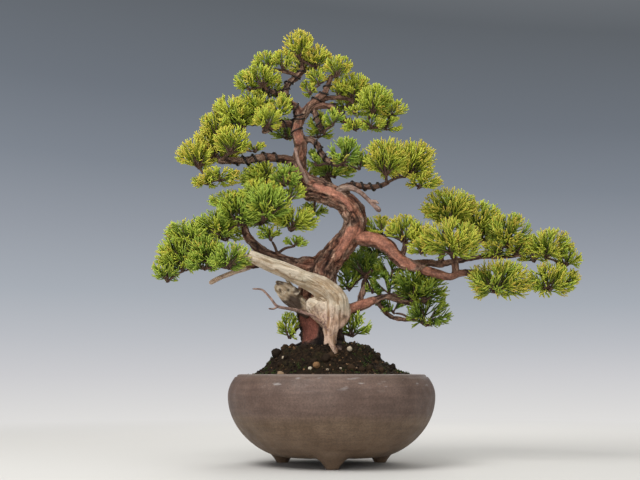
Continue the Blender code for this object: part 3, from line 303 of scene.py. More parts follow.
# Foliage: for each spray how yellow it is and how many of its shoots have golden tips, both
# from 0 to 1, its root on the wood (x, y, z, radius), then its tufts, each the middle and the
# three half-axes of the egg shape that its shoots reach out to
FOLIAGE = {
    "left_skirt": ((0.3, 0.2), (-103, 0, 173, 1.5), [
        (-87, -24, 177, 19, 16, 13), (-111, -8, 184, 17, 17, 15), (-135, -4, 181, 19, 18, 19),
        (-131, 14, 200, 13, 13, 11), (-118, 32, 192, 17, 16, 14), (-128, -7, 201, 18, 14, 12),
        (-146, -6, 167, 12, 12, 13), (-112, -14, 174, 15, 12, 9)]),
    "left_pad": ((0.4, 0.15), (-77, 1, 209, 1.8), [
        (-81, -12, 220, 19, 17, 16), (-103, 2, 207, 22, 18, 15), (-99, 36, 209, 20, 15, 14),
        (-56, -24, 224, 21, 17, 17), (-62, 28, 224, 20, 16, 15), (-32, -6, 213, 20, 15, 13),
        (-90, -8, 228, 18, 15, 11), (-62, -14, 236, 19, 14, 12), (-36, -12, 237, 14, 10, 10)]),
    "left_drop": ((0.25, 0.05), (-48, 6, 184, 1.4), [(-31, -4, 194, 11, 6, 5), (-54, -8, 202, 13, 9, 7)]),
    "left_inner": ((0.35, 0.15), (-45, 12, 252, 1.6), [
        (-58, 4, 254, 22, 16, 13), (-64, 38, 258, 20, 15, 13), (-41, -14, 250, 14, 9, 12)]),
    "left_high": ((0.7, 0.6), (-98, -2, 266, 1.7), [
        (-87, -20, 281, 16, 16, 13), (-106, 4, 286, 18, 16, 15), (-121, -6, 270, 17, 17, 16),
        (-98, -12, 250, 19, 14, 9), (-100, 36, 283, 18, 15, 14), (-67, -4, 279, 9, 7, 5),
        (-102, -6, 299, 15, 14, 11), (-111, -8, 247, 13, 12, 7)]),
    "shoulder_left": ((0.6, 0.35), (-59, -3, 293, 1.8), [
        (-56, -18, 302, 13, 13, 11), (-85, -4, 305, 18, 16, 13), (-68, 4, 319, 17, 16, 13),
        (-74, 34, 318, 18, 14, 13), (-91, -8, 313, 15, 13, 12), (-45, -8, 316, 11, 10, 12)]),
    "crown_left": ((0.55, 0.2), (-61, 0, 334, 1.4), [
        (-62, -4, 343, 16, 15, 12), (-56, 26, 340, 14, 13, 11), (-75, -3, 338, 13, 12, 11)]),
    "crown_left_top": ((0.6, 0.3), (-44, 0, 350, 1.1), [
        (-43, -8, 357, 11, 12, 9), (-59, -3, 357, 12, 11, 10)]),
    "apex": ((0.75, 0.75), (-27, 0, 359, 1.5), [
        (-30, -4, 372, 14, 15, 14), (-12, 2, 361, 14, 14, 13), (-26, 24, 362, 14, 13, 12)]),
    "crown_right": ((0.6, 0.55), (0, -4, 342, 1.5), [
        (6, -10, 350, 13, 13, 11), (-13, -4, 342, 10, 9, 10), (-20, 3, 334, 8, 8, 9)]),
    "crown_right_back": ((0.6, 0.35), (19, 3, 323, 1.3), [
        (19, 6, 337, 16, 16, 12), (12, 14, 322, 12, 10, 9), (22, 36, 338, 16, 14, 13),
        (22, -4, 313, 11, 10, 8), (6, 2, 334, 9, 9, 11)]),
    "shoulder_right": ((0.55, 0.25), (32, 0, 302, 1.5), [
        (39, -10, 321, 16, 16, 13), (56, 0, 314, 13, 14, 11), (38, -4, 300, 16, 12, 8),
        (44, 30, 323, 16, 14, 12), (51, -4, 299, 13, 11, 7), (20, -6, 297, 12, 10, 7)]),
    "inner_right": ((0.3, 0.1), (5, -2, 262, 1.4), [
        (12, -10, 272, 15, 14, 14), (27, -6, 265, 10, 10, 10), (-15, 10, 271, 8, 8, 9)]),
    "inner_top": ((0.4, 0.1), (-7, 3, 293, 1.2), [(-11, 8, 304, 8, 9, 11), (3, -5, 306, 9, 8, 9)]),
    "back_mid": ((0.3, 0.15), (-3, 51, 262, 1.5), [
        (-1, 34, 266, 17, 12, 9), (6, 60, 272, 18, 15, 12), (-24, 58, 262, 17, 14, 12)]),
    "back_high": ((0.4, 0.2), (-19, 33, 295, 1.3), [(-10, 44, 307, 14, 13, 12), (-44, 44, 305, 15, 13, 12)]),
    "back_low": ((0.2, 0.1), (17, 57, 182, 1.6), [
        (30, 58, 177, 20, 15, 17), (8, 74, 188, 17, 14, 13), (44, 70, 196, 16, 13, 12)]),
    "right_high": ((0.65, 0.6), (49, -5, 246, 1.5), [
        (48, -18, 266, 19, 17, 18), (74, -4, 267, 19, 17, 18), (81, -8, 247, 17, 14, 9),
        (60, 32, 269, 19, 15, 15)]),
    "right_inner": ((0.6, 0.5), (65, 2, 194, 1.4), [
        (64, 0, 204, 16, 14, 14), (79, -8, 197, 14, 12, 14), (42, 9, 209, 14, 12, 10),
        (80, -16, 187, 14, 12, 9)]),
    "right_front": ((0.65, 0.6), (107, -14, 180, 1.6), [(103, -26, 192, 26, 18, 19)]),
    "right_top": ((0.65, 0.6), (103, 14, 209, 1.3), [(106, 6, 226, 25, 17, 17), (112, 40, 225, 18, 15, 13)]),
    "right_rise": ((0.62, 0.6), (133, 22, 195, 1.2), [
        (133, 14, 216, 23, 17, 17), (142, 46, 208, 18, 14, 13)]),
    "right_mid": ((0.62, 0.6), (154, 10, 190, 1.1), [
        (158, 4, 203, 21, 18, 17), (146, 6, 187, 17, 13, 9), (168, 6, 189, 14, 12, 9)]),
    "right_low": ((0.6, 0.6), (131, -8, 165, 1.6), [(145, -20, 157, 28, 18, 19)]),
    "right_tip": ((0.6, 0.5), (174, 4, 184, 1.2), [
        (193, -4, 190, 20, 16, 15), (191, -8, 158, 21, 16, 16), (208, -2, 160, 13, 10, 10),
        (186, 30, 188, 17, 14, 13), (208, -5, 178, 12, 12, 12)]),
    "low_right": ((0.42, 0.08), (69, 11, 140, 1.6), [
        (49, 10, 159, 12, 12, 11), (74, 2, 157, 21, 16, 16), (76, 38, 152, 18, 15, 14),
        (52, 14, 173, 14, 11, 10), (86, 2, 152, 17, 15, 15)]),
    "low_right_under": ((0.45, 0.1), (71, 12, 126, 1.1), [
        (86, 4, 131, 20, 16, 16), (53, 16, 139, 13, 11, 8)]),
    "low_right_up": ((0.42, 0.08), (36, 22, 169, 1.3), [
        (28, 28, 175, 18, 13, 14), (14, 21, 160, 12, 10, 13), (37, 18, 154, 9, 8, 9)]),
    "base_left": ((0.35, 0.2), (-26, 6, 121, 1.4), [(-38, 3, 118, 10, 9, 14)]),
    "base_right": ((0.3, 0.1), (9, 9, 113, 1.4), [(21, 8, 121, 14, 10, 15)]),
    "right_under_sprig": ((0.2, 0.05), (-14, 8, 236, 1.4), [(-16, 22, 225, 13, 10, 9)]),
}
# Sprays low under the canopy and behind it, which get the darker copy of the green as painted shade
PAINTED_SHADE_SPRAYS = ("low_right", "low_right_under", "low_right_up", "back_low")
# How full the airier sprays are
AIRY = {"low_right": 0.75, "low_right_under": 0.7, "low_right_up": 0.6, "base_left": 0.6, "base_right": 0.8}
BOUGH_AREA = 23.0
SHOOTS_A_BOUGH = 5
CORDS_A_SHOOT = 6
CORD_RADIUS = 0.56
LONGEST_SHOOT = 23.0
CORD_LEAN = (12, 30)
CORD_LENGTH = (5.5, 15.0)
LOWEST_BOUGH = -0.55
BASE_DROP = 0.78
STEM_END_RADIUS = 0.9
STEM_ARCH = 0.1


def hashed(cells, seed):
    """A repeatable number from -1 to 1 for each whole-numbered cell."""
    cell = cells.astype(np.int64)
    mixed = cell[..., 0] * 374761393 + cell[..., 1] * 668265263 + cell[..., 2] * 1440662683 + seed * 97531
    mixed = (mixed ^ (mixed >> 13)) * 1274126177
    mixed = (mixed ^ (mixed >> 16)) & 0xFFFF
    return mixed / 32767.5 - 1


def noise(points, seed=0):
    """Smooth noise from -1 to 1 at points (n, 3), one lump to each unit."""
    floor = np.floor(points)
    part = points - floor
    part = part * part * (3 - 2 * part)
    total = 0
    for corner in np.ndindex(2, 2, 2):
        weight = np.prod(np.where(np.array(corner) == 1, part, 1 - part), axis=-1)
        total = total + weight * hashed(floor + corner, seed)
    return total


def layered(points, seed=0, layers=3):
    """Noise with finer layers on top, from -1 to 1."""
    total = sum(noise(points * 2 ** layer, seed + layer) / 2 ** layer for layer in range(layers))
    return total / sum(0.5 ** layer for layer in range(layers))


def ramp(value, low, high):
    """0 below low, 1 above high and a soft step between."""
    share = np.clip((value - low) / (high - low), 0, 1)
    return share * share * (3 - 2 * share)


def unit(vectors):
    return vectors / np.maximum(np.linalg.norm(vectors, axis=-1, keepdims=True), 1e-9)


def smooth_rows(rows, spacing):
    """Rows every spacing on a smooth curve through the given rows."""
    table = np.array(rows, float)
    if len(table) == 2:
        count = max(2, round(np.linalg.norm(table[1, :3] - table[0, :3]) / spacing))
        return table[0] + (table[1] - table[0]) * np.linspace(0, 1, count + 1)[:, None]
    ends = np.vstack([2 * table[0] - table[1], table, 2 * table[-1] - table[-2]])
    pieces = []
    for first, second, third, fourth in zip(ends, ends[1:], ends[2:], ends[3:]):
        count = max(2, round(np.linalg.norm(third[:3] - second[:3]) / spacing))
        t = np.linspace(0, 1, count, endpoint=False)[:, None]
        pieces.append(0.5 * (
            2 * second + (third - first) * t + (2 * first - 5 * second + 4 * third - fourth) * t ** 2
            + (3 * second - first - 3 * third + fourth) * t ** 3))
    return np.vstack([*pieces, table[-1:]])


class Path:
    """A smooth path with its radius, its length so far and two sides square to it."""

    def __init__(self, rows, spacing=1.2):
        table = smooth_rows(rows, spacing)
        self.points = table[:, :3]
        self.radii = table[:, 3]
        self.tangents = unit(np.gradient(self.points, axis=0))
        steps = np.linalg.norm(np.diff(self.points, axis=0), axis=1)
        self.reach = np.concatenate([[0], np.cumsum(steps)])
        side = np.array(Vector(self.tangents[0]).orthogonal().normalized())
        sides = []
        for tangent in self.tangents:
            side = side - tangent * side.dot(tangent)
            side = side / np.linalg.norm(side)
            sides.append(side)
        self.sides = np.array(sides)
        self.others = np.cross(self.tangents, self.sides)

    def at(self, share):
        """Place, radius, tangent, side and other side at a share of the length."""
        spot = share * self.reach[-1]
        table = np.hstack([self.points, self.radii[:, None], self.tangents, self.sides, self.others])
        row = np.array([np.interp(spot, self.reach, column) for column in table.T])
        return row[:3], row[3], row[4:7], row[7:10], row[10:13]


def tube_arrays(path, corners):
    """Points and faces of a closed tube through the path's rings."""
    angles = np.arange(corners) * math.tau / corners
    ring = np.cos(angles)[:, None, None] * path.sides + np.sin(angles)[:, None, None] * path.others
    rings = path.points + ring * path.radii[:, None]
    rings = rings.transpose(1, 0, 2)
    count = len(path.points)
    faces = []
    for level in range(count - 1):
        for k in range(corners):
            here, ahead = level * corners + k, level * corners + (k + 1) % corners
            faces.append((here, ahead, ahead + corners, here + corners))
    faces.append(tuple(range(corners))[::-1])
    faces.append(tuple(range((count - 1) * corners, count * corners)))
    return rings.reshape(-1, 3), faces


def to_frame(points):
    """Millimetres about the pot's axis to metres in the frame."""
    return np.asarray(points, float) * MM + AXIS


def new_object(name, points, faces):
    """An object from points in millimetres about the pot's axis."""
    mesh = bpy.data.meshes.new(name)
    if isinstance(faces, np.ndarray):
        corners = faces.shape[1]
        mesh.vertices.add(len(points))
        mesh.vertices.foreach_set("co", to_frame(points).astype(np.float32).ravel())
        mesh.loops.add(faces.size)
        mesh.loops.foreach_set("vertex_index", faces.astype(np.int32).ravel())
        mesh.polygons.add(len(faces))
        mesh.polygons.foreach_set("loop_start", np.arange(0, faces.size, corners, dtype=np.int32))
        mesh.update(calc_edges=True)
    else:
        mesh.from_pydata(to_frame(points).tolist(), [], faces)
    item = bpy.data.objects.new(name, mesh)
    bpy.context.scene.collection.objects.link(item)
    return item


def apply_modifiers(item):
    """Give the object the mesh that its modifiers make."""
    graph = bpy.context.evaluated_depsgraph_get()
    mesh = bpy.data.meshes.new_from_object(item.evaluated_get(graph))
    item.modifiers.clear()
    item.data = mesh


def read(mesh, kind):
    """Vertex places or normals as an array."""
    values = np.empty(len(mesh.vertices) * 3, np.float32)
    if kind == "normal":
        mesh.vertex_normals.foreach_get("vector", values)
    else:
        mesh.vertices.foreach_get(kind, values)
    return values.reshape(-1, 3).astype(float)


def paint(item, **values):
    """Numbers on the points of a mesh for its material to read."""
    for name, numbers in values.items():
        attribute = item.data.attributes.new(name, "FLOAT", "POINT")
        attribute.data.foreach_set("value", np.asarray(numbers, np.float32))


def paint_grain(item, grain):
    """Millimetres across and along the wood for its material to read."""
    attribute = item.data.attributes.new("grain", "FLOAT_VECTOR", "POINT")
    attribute.data.foreach_set("vector", np.asarray(grain, np.float32).ravel())


def settle(item, material, slot, *nodes):
    """Finish a piece: its material, smooth shading, body and the nodes it stands for. The slot is not used.
    """
    item.data.materials.clear()
    item.data.materials.append(material)
    item.data.shade_smooth()
    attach(item, BODY)
    if nodes:
        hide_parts(*nodes)
    return item


def fill_ramp(node, stops):
    """Give a colour ramp its stops of place and colour."""
    elements = node.color_ramp.elements
    while len(elements) < len(stops):
        elements.new(0.5)
    for element, (spot, colour) in zip(elements, stops):
        element.position = spot
        element.color = (*colour, 1)


class Paints:
    """A Principled material and short calls for the nodes that colour it."""

    def __init__(self, name, roughness, specular=0.4):
        self.material = bpy.data.materials.new(name)
        self.material.use_nodes = True
        self.tree = self.material.node_tree
        self.shader = self.tree.nodes["Principled BSDF"]
        self.shader.inputs["Roughness"].default_value = roughness
        self.shader.inputs["Specular IOR Level"].default_value = specular

    def node(self, kind, **settings):
        made = self.tree.nodes.new("ShaderNode" + kind)
        for key, value in settings.items():
            setattr(made, key, value)
        return made

    def feed(self, socket, value):
        """Link a socket, or set its number or colour."""
        if isinstance(value, bpy.types.NodeSocket):
            self.tree.links.new(value, socket)
        elif isinstance(value, tuple) and len(value) == 3 and len(socket.default_value) == 4:
            socket.default_value = (*value, 1)
        else:
            socket.default_value = value

    def place(self, stretch=(1, 1, 1)):
        """The surface's place in metres, divided by how far each axis is stretched."""
        spot = self.node("TexCoord").outputs["Object"]
        if stretch == (1, 1, 1):
            return spot
        return self.scaled(spot, [1 / part for part in stretch])

    def scaled(self, spot, scale):
        mapping = self.node("Mapping")
        mapping.inputs["Scale"].default_value = scale
        self.tree.links.new(spot, mapping.inputs["Vector"])
        return mapping.outputs["Vector"]

    def noise_at(self, spot, scale, detail, distortion=0.0):
        made = self.node("TexNoise")
        self.tree.links.new(spot, made.inputs["Vector"])
        made.inputs["Scale"].default_value = scale
        made.inputs["Detail"].default_value = detail
        made.inputs["Distortion"].default_value = distortion
        return made.outputs["Fac"]

    def noise(self, size, detail=3.0, stretch=(1, 1, 1)):
        """Noise from 0 to 1 with lumps of a size in millimetres."""
        return self.noise_at(self.place(stretch), 1 / (size * MM), detail)

    def threads(self, size, stretch, detail=4.0):
        """Noise from 0 to 1 in threads of a width in millimetres, drawn out along the wood."""
        grain = self.node("Attribute", attribute_name="grain").outputs["Vector"]
        spot = self.scaled(grain, (1 / size, 1 / size, 1 / (size * stretch)))
        return self.noise_at(spot, 1.0, detail, THREAD_BEND)

    def cells(self, size):
        """The distance to the middle of the nearest cell, for cells of a size in millimetres."""
        made = self.node("TexVoronoi", feature="F1")
        self.feed(made.inputs["Vector"], self.place())
        made.inputs["Scale"].default_value = 1 / (size * MM)
        return made.outputs["Distance"]

    def attribute(self, name):
        return self.node("Attribute", attribute_name=name).outputs["Fac"]

    def height(self):
        """Height above the surface that the pot stands on, in millimetres."""
        parts = self.node("SeparateXYZ")
        self.feed(parts.inputs[0], self.place())
        return self.times(parts.outputs["Z"], 1 / MM)

    def math(self, operation, *values):
        made = self.node("Math", operation=operation)
        for socket, value in zip(made.inputs, values):
            self.feed(socket, value)
        return made.outputs[0]

    def times(self, *values):
        return self.math("MULTIPLY", *values)

    def plus(self, *values):
        return self.math("ADD", *values)

    def step(self, value, low, high):
        """A soft step from 0 at low to 1 at high."""
        made = self.node("MapRange", interpolation_type="SMOOTHSTEP")
        self.feed(made.inputs["Value"], value)
        made.inputs["From Min"].default_value = low
        made.inputs["From Max"].default_value = high
        return made.outputs[0]

    def ramp(self, value, stops):
        """Colours along a value: stops of place and colour."""
        made = self.node("ValToRGB")
        fill_ramp(made, stops)
        self.feed(made.inputs["Fac"], value)
        return made.outputs["Color"]

    def mix(self, share, first, second, blend="MIX"):
        made = self.node("Mix", data_type="RGBA", blend_type=blend)
        self.feed(made.inputs[0], share)
        self.feed(made.inputs[6], first)
        self.feed(made.inputs[7], second)
        return made.outputs[2]

    def shade(self, colour, value, low, high):
        """The colour made darker or lighter by a value from 0 to 1."""
        grey = self.ramp(value, [(0.0, (low,) * 3), (1.0, (high,) * 3)])
        return self.mix(1.0, colour, grey, "MULTIPLY")

    def bump(self, height, depth, strength=1.0):
        """Relief of a depth in millimetres."""
        made = self.node("Bump")
        made.inputs["Distance"].default_value = depth * MM
        made.inputs["Strength"].default_value = strength
        self.feed(made.inputs["Height"], height)
        self.tree.links.new(made.outputs["Normal"], self.shader.inputs["Normal"])

    def finish(self, colour, roughness=None):
        self.feed(self.shader.inputs["Base Color"], colour)
        if roughness is not None:
            self.feed(self.shader.inputs["Roughness"], roughness)
        return self.material


def clay_material():
    """Unglazed clay: a purplish upper band, an olive lower one, brushing, specks, lime and a painted
    highlight along the top of the lip.
    """
    p = Paints("unglazed_clay", 0.55)
    height = p.height()
    wander = p.times(p.math("SUBTRACT", p.noise(60, 2.0), 0.5), 9.0)
    band = p.step(p.plus(height, wander), BAND_Z - 6, BAND_Z + 5)
    upper = p.ramp(p.noise(22, 4.0), [(0.3, (0.093, 0.056, 0.041)), (0.7, (0.15, 0.097, 0.074))])
    lower = p.ramp(p.noise(18, 4.0), [(0.3, (0.113, 0.070, 0.041)), (0.7, (0.175, 0.115, 0.072))])
    colour = p.mix(band, lower, upper)
    brushed = p.noise(9, 4.0, (5, 5, 0.35))
    colour = p.shade(colour, p.step(brushed, 0.3, 0.7), 0.86, 1.1)
    colour = p.shade(colour, p.step(p.noise(1.6, 2.0), 0.36, 0.62), 0.86, 1.08)
    specks = p.step(p.cells(3.4), 0.1, 0.05)
    colour = p.mix(p.times(specks, 0.35), colour, (0.33, 0.27, 0.2))
    pits = p.step(p.noise(2.6, 1.0), 0.30, 0.22)
    colour = p.mix(p.times(pits, 0.5), colour, (0.045, 0.034, 0.026))
    rim = p.times(p.step(height, 62.0, 72.0), p.step(height, 80.0, 73.0))
    lime = p.times(rim, p.step(p.noise(6, 5.0, (2.6, 2.6, 0.7)), 0.60, 0.72))
    colour = p.mix(p.times(lime, 0.65), colour, (0.42, 0.40, 0.385))
    # Painted highlight: the top of the lip is made lighter.
    edge = p.step(height, 74.8, 77.3)
    colour = p.mix(p.times(edge, 0.35), colour, (0.25, 0.215, 0.19))
    relief = p.plus(p.times(brushed, 0.6), p.noise(0.9, 3.0))
    p.bump(relief, 0.35, 0.6)
    return p.finish(colour, p.ramp(p.noise(7, 3.0), [(0.3, (0.48,) * 3), (0.7, (0.66,) * 3)]))


def soil_material():
    """Moist dark humus with a little moss green."""
    p = Paints("humus", 0.9, 0.12)
    colour = p.ramp(p.noise(2.2, 4.0), [
        (0.3, (0.005, 0.003, 0.0017)), (0.55, (0.018, 0.0105, 0.0055)), (0.75, (0.05, 0.028, 0.013))])
    moss = p.times(p.step(p.noise(16, 3.0), 0.5, 0.62), p.step(p.noise(1.2, 2.0), 0.4, 0.6))
    colour = p.mix(p.times(moss, 0.35), colour, (0.03, 0.032, 0.009))
    p.bump(p.noise(1.0, 4.0), 0.8)
    return p.finish(colour)


def grain_material():
    """Soil grains: most are near black, some are brown, tan or cream."""
    p = Paints("soil_grains", 0.85, 0.15)
    tone = p.attribute("tone")
    colour = p.ramp(tone, [
        (0.0, (0.004, 0.0025, 0.0015)), (0.45, (0.015, 0.009, 0.005)), (0.8, (0.045, 0.025, 0.012)),
        (0.93, (0.10, 0.055, 0.025)), (0.975, (0.24, 0.13, 0.06)), (0.995, (0.5, 0.43, 0.32))])
    colour = p.shade(colour, p.noise(0.7, 3.0), 0.55, 1.4)
    p.bump(p.noise(0.5, 3.0), 0.3)
    return p.finish(colour)


def moss_material():
    p = Paints("moss", 0.85, 0.2)
    colour = p.ramp(p.attribute("fresh"), [(0.0, (0.008, 0.010, 0.003)), (1.0, (0.05, 0.075, 0.014))])
    return p.finish(p.shade(colour, p.noise(3, 2.0), 0.6, 1.4))


def bark_material():
    """Flaking strips over dark furrows deepened with painted shade, with bare red-brown veins, and a black
    foot of dark bark with painted shade under the deadwood.
    """
    p = Paints("juniper_bark", 0.8, 0.3)
    relief = p.attribute("relief")
    vein = p.attribute("vein")
    threads = p.step(p.threads(1.7, 6.0), 0.34, 0.66)
    scales = p.step(p.threads(3.2, 2.6, 3.0), 0.38, 0.60)
    # The relief colours the strips: the furrows and cracks at its low end are near black, their dark bark
    # deepened with painted shade.
    strips = p.ramp(relief, [
        (0.0, (0.020, 0.010, 0.007)), (0.3, (0.085, 0.043, 0.028)), (0.6, (0.20, 0.110, 0.072)),
        (0.85, (0.34, 0.205, 0.14)), (1.0, (0.47, 0.32, 0.235))])
    rusty = p.mix(p.step(p.noise(9, 3.0), 0.42, 0.62), strips, (0.85, 0.50, 0.38), "MULTIPLY")
    strips = p.mix(0.7, strips, rusty)
    grey = p.times(p.attribute("worn"), p.step(relief, 0.35, 0.8))
    strips = p.mix(p.times(grey, 0.6), strips, (0.33, 0.25, 0.185))
    strips = p.shade(strips, threads, 0.62, 1.22)
    strips = p.shade(strips, scales, 0.70, 1.16)
    bare = p.ramp(p.noise(5, 4.0), [(0.3, (0.23, 0.080, 0.048)), (0.72, (0.46, 0.195, 0.120))])
    # Painted shade in the cracks of the bare veins.
    bare = p.shade(bare, relief, 0.60, 1.2)
    bare = p.shade(bare, threads, 0.80, 1.08)
    colour = p.mix(vein, strips, bare)
    # Thin branches: their furrows are near black with painted shade, as on the strips.
    twig = p.ramp(relief, [
        (0.1, (0.022, 0.011, 0.008)), (0.5, (0.090, 0.046, 0.030)), (0.9, (0.20, 0.118, 0.080))])
    colour = p.mix(p.times(p.attribute("thin"), 0.7), colour, p.shade(twig, threads, 0.7, 1.25))
    # The black foot: dark bark near the soil, with painted shade under and between the deadwood where it
    # rises on the left.
    colour = p.mix(p.attribute("dark"), colour, p.shade(colour, relief, 0.04, 0.20))
    worn_patch = p.ramp(p.noise(6, 4.0), [(0.3, (0.13, 0.038, 0.026)), (0.7, (0.25, 0.085, 0.057))])
    colour = p.mix(p.attribute("patch"), colour, worn_patch)
    colour = p.shade(colour, p.step(p.noise(1.6, 4.0), 0.34, 0.66), 0.72, 1.2)
    rough = p.plus(p.times(threads, 0.9), p.times(scales, 0.7))
    rough = p.times(p.plus(rough, p.noise(0.9, 4.0)), p.math("SUBTRACT", 1.15, vein))
    p.bump(rough, 0.75, 0.9)
    return p.finish(colour, p.mix(vein, (0.85,) * 3, (0.5,) * 3))


def deadwood_material(name, pale, tan, shadow):
    """Bleached grain with tan patches and dark cracks; the undersides of the main jin get painted shade in
    tan, and its hole and the peg's hollow are painted shade.
    """
    p = Paints(name, 0.75, 0.3)
    relief = p.attribute("relief")
    colour = p.ramp(relief, [(0.0, shadow), (0.28, tan), (0.55, pale), (1.0, tuple(c * 1.12 for c in pale))])
    stain = p.step(p.noise(9, 4.0), 0.50, 0.66)
    colour = p.mix(p.times(stain, 0.55), colour, tan)
    # Tan patches, which on the main jin also paint shade on its undersides.
    patch = p.times(p.attribute("tanned"), p.step(p.noise(4, 3.0), 0.35, 0.6))
    colour = p.mix(p.times(patch, 0.8), colour, tuple(c * 1.1 for c in tan))
    rosy = p.attribute("rosy")
    colour = p.mix(rosy, colour, p.mix(1.0, colour, (1.0, 0.82, 0.79), "MULTIPLY"))
    bruise = p.times(rosy, p.step(p.noise(3.2, 3.0), 0.55, 0.66))
    colour = p.mix(p.times(bruise, 0.7), colour, (0.19, 0.105, 0.105))
    green = p.times(p.step(p.noise(14, 2.0), 0.5, 0.68), 0.15)
    colour = p.mix(green, colour, (0.33, 0.32, 0.20))
    lines = p.step(p.threads(1.1, 16.0), 0.34, 0.62)
    colour = p.shade(colour, lines, 0.80, 1.06)
    colour = p.shade(colour, p.step(p.threads(3.0, 7.0), 0.36, 0.60), 0.90, 1.04)
    # The knot and the mottling are the wood's own dark; the hole on the main jin and the hollow and lower
    # edge of the peg are painted shade.
    colour = p.mix(p.attribute("dark"), colour, (0.042, 0.023, 0.014))
    colour = p.shade(colour, p.noise(1.1, 4.0), 0.84, 1.12)
    p.bump(p.plus(p.times(lines, 0.9), p.noise(0.8, 4.0)), 0.45, 0.8)
    return p.finish(colour)


def foliage_material(name, deep, middle, bright, gold):
    """Cord-like shoots: brown at the root, green, then bright or golden at the tip, with painted shade deep
    inside each tuft.
    """
    p = Paints(name, 0.58, 0.22)
    fresh = p.attribute("fresh")
    tone = p.attribute("tone")
    shift = p.plus(fresh, p.times(p.math("SUBTRACT", tone, 0.5), 0.5))
    colour = p.ramp(shift, [
        (0.0, (0.11, 0.06, 0.028)), (0.12, tuple(c * 0.7 for c in deep)), (0.3, deep),
        (0.6, middle), (1.0, bright)])
    cool = p.mix(1.0, colour, (0.86, 1.0, 1.4), "MULTIPLY")
    colour = p.mix(p.step(tone, 0.62, 0.2), colour, cool)
    tipped = p.times(p.attribute("gold"), p.step(fresh, 0.6, 1.0))
    colour = p.mix(p.times(tipped, 0.8), colour, gold)
    # Painted shade: the cords are darker deep inside each tuft and lighter on its skin.
    colour = p.shade(colour, p.attribute("outer"), 0.84, 1.13)
    colour = p.shade(colour, p.noise(1.0, 2.0), 0.85, 1.15)
    twig = p.ramp(p.noise(2, 3.0), [(0.3, (0.035, 0.02, 0.014)), (0.7, (0.15, 0.085, 0.058))])
    colour = p.mix(p.attribute("woody"), colour, twig)
    p.bump(p.noise(0.6, 2.0), 0.25, 0.7)
    return p.finish(colour)


def wire_material():
    p = Paints("dark_wire", 0.42, 0.5)
    p.shader.inputs["Metallic"].default_value = 0.6
    colour = p.ramp(p.noise(4, 3.0), [(0.3, (0.012, 0.009, 0.008)), (0.75, (0.05, 0.035, 0.028))])
    p.bump(p.noise(0.8, 2.0), 0.06, 0.5)
    return p.finish(colour)


def plastic_material():
    p = Paints("black_plastic", 0.5)
    return p.finish(p.ramp(p.noise(3, 2.0), [(0.3, (0.012,) * 3), (0.7, (0.03,) * 3)]))


def floor_material():
    """Pale near the pot, and far away the colour of the horizon behind it."""
    p = Paints("pale_floor", 0.8, 0.0)
    away = p.node("VectorMath", operation="LENGTH")
    p.feed(away.inputs[0], p.place())
    far = p.step(away.outputs["Value"], FLOOR_NEAR, FLOOR_FAR)
    colour = p.ramp(p.noise(900, 2.0), [(0.3, (0.60, 0.585, 0.555)), (0.7, (0.62, 0.605, 0.575))])
    closeness = p.math("DIVIDE", 1.0, p.plus(away.outputs["Value"], 1.0))
    glow = p.mix(closeness, HORIZON, FLOOR_GLOW)
    p.shader.inputs["Emission Strength"].default_value = 1.0
    p.feed(p.shader.inputs["Emission Color"], p.mix(far, (0.0, 0.0, 0.0), glow))
    return p.finish(p.mix(far, colour, (0.0, 0.0, 0.0)))


def wall_radius(z, floor_z, floor_radius, belly_radius):
    """The bowl's radius at height z: a soft curve out to the belly, then in to the rim."""
    if z < BELLY_Z:
        drop = (BELLY_Z - z) / (BELLY_Z - floor_z)
        return floor_radius + (belly_radius - floor_radius) * max(0, 1 - drop * drop) ** (2 / 3)
    rise = (z - BELLY_Z) / (RIM_Z - BELLY_Z)
    return belly_radius - RIM_DRAW_IN * rise * rise


def bowl_outline(floor_z, floor_radius, belly_radius, top_z, points):
    """The bowl's curve from its top down to the edge of its floor."""
    heights = list(np.linspace(top_z, BELLY_Z, points // 3, endpoint=False))
    for step in range(points):
        turn = math.pi / 2 * (1 - step / (points - 1))
        heights.append(BELLY_Z - math.cos(turn) * (BELLY_Z - floor_z))
    return [(wall_radius(z, floor_z, floor_radius, belly_radius), z) for z in heights]


def lathe(name, outline, steps, middle=(0, 0)):
    """A turned solid, from its outline of radius and height given top to bottom outside."""
    angles = np.arange(steps) * math.tau / steps
    radii = np.array([radius for radius, z in outline])
    heights = np.array([z for radius, z in outline])
    x = middle[0] + radii[:, None] * np.cos(angles)
    y = middle[1] + radii[:, None] * np.sin(angles)
    z = np.repeat(heights[:, None], steps, axis=1)
    points = np.stack([x, y, z], axis=2).reshape(-1, 3)
    faces = []
    for level in range(len(outline)):
        below = (level + 1) % len(outline)
        for k in range(steps):
            ahead = (k + 1) % steps
            here, lower = level * steps, below * steps
            faces.append((here + k, lower + k, lower + ahead, here + ahead))
    return new_object(name, points, np.array(faces))


def weld(item):
    bm = bmesh.new()
    bm.from_mesh(item.data)
    bmesh.ops.remove_doubles(bm, verts=bm.verts, dist=0.00001)
    bm.to_mesh(item.data)
    bm.free()


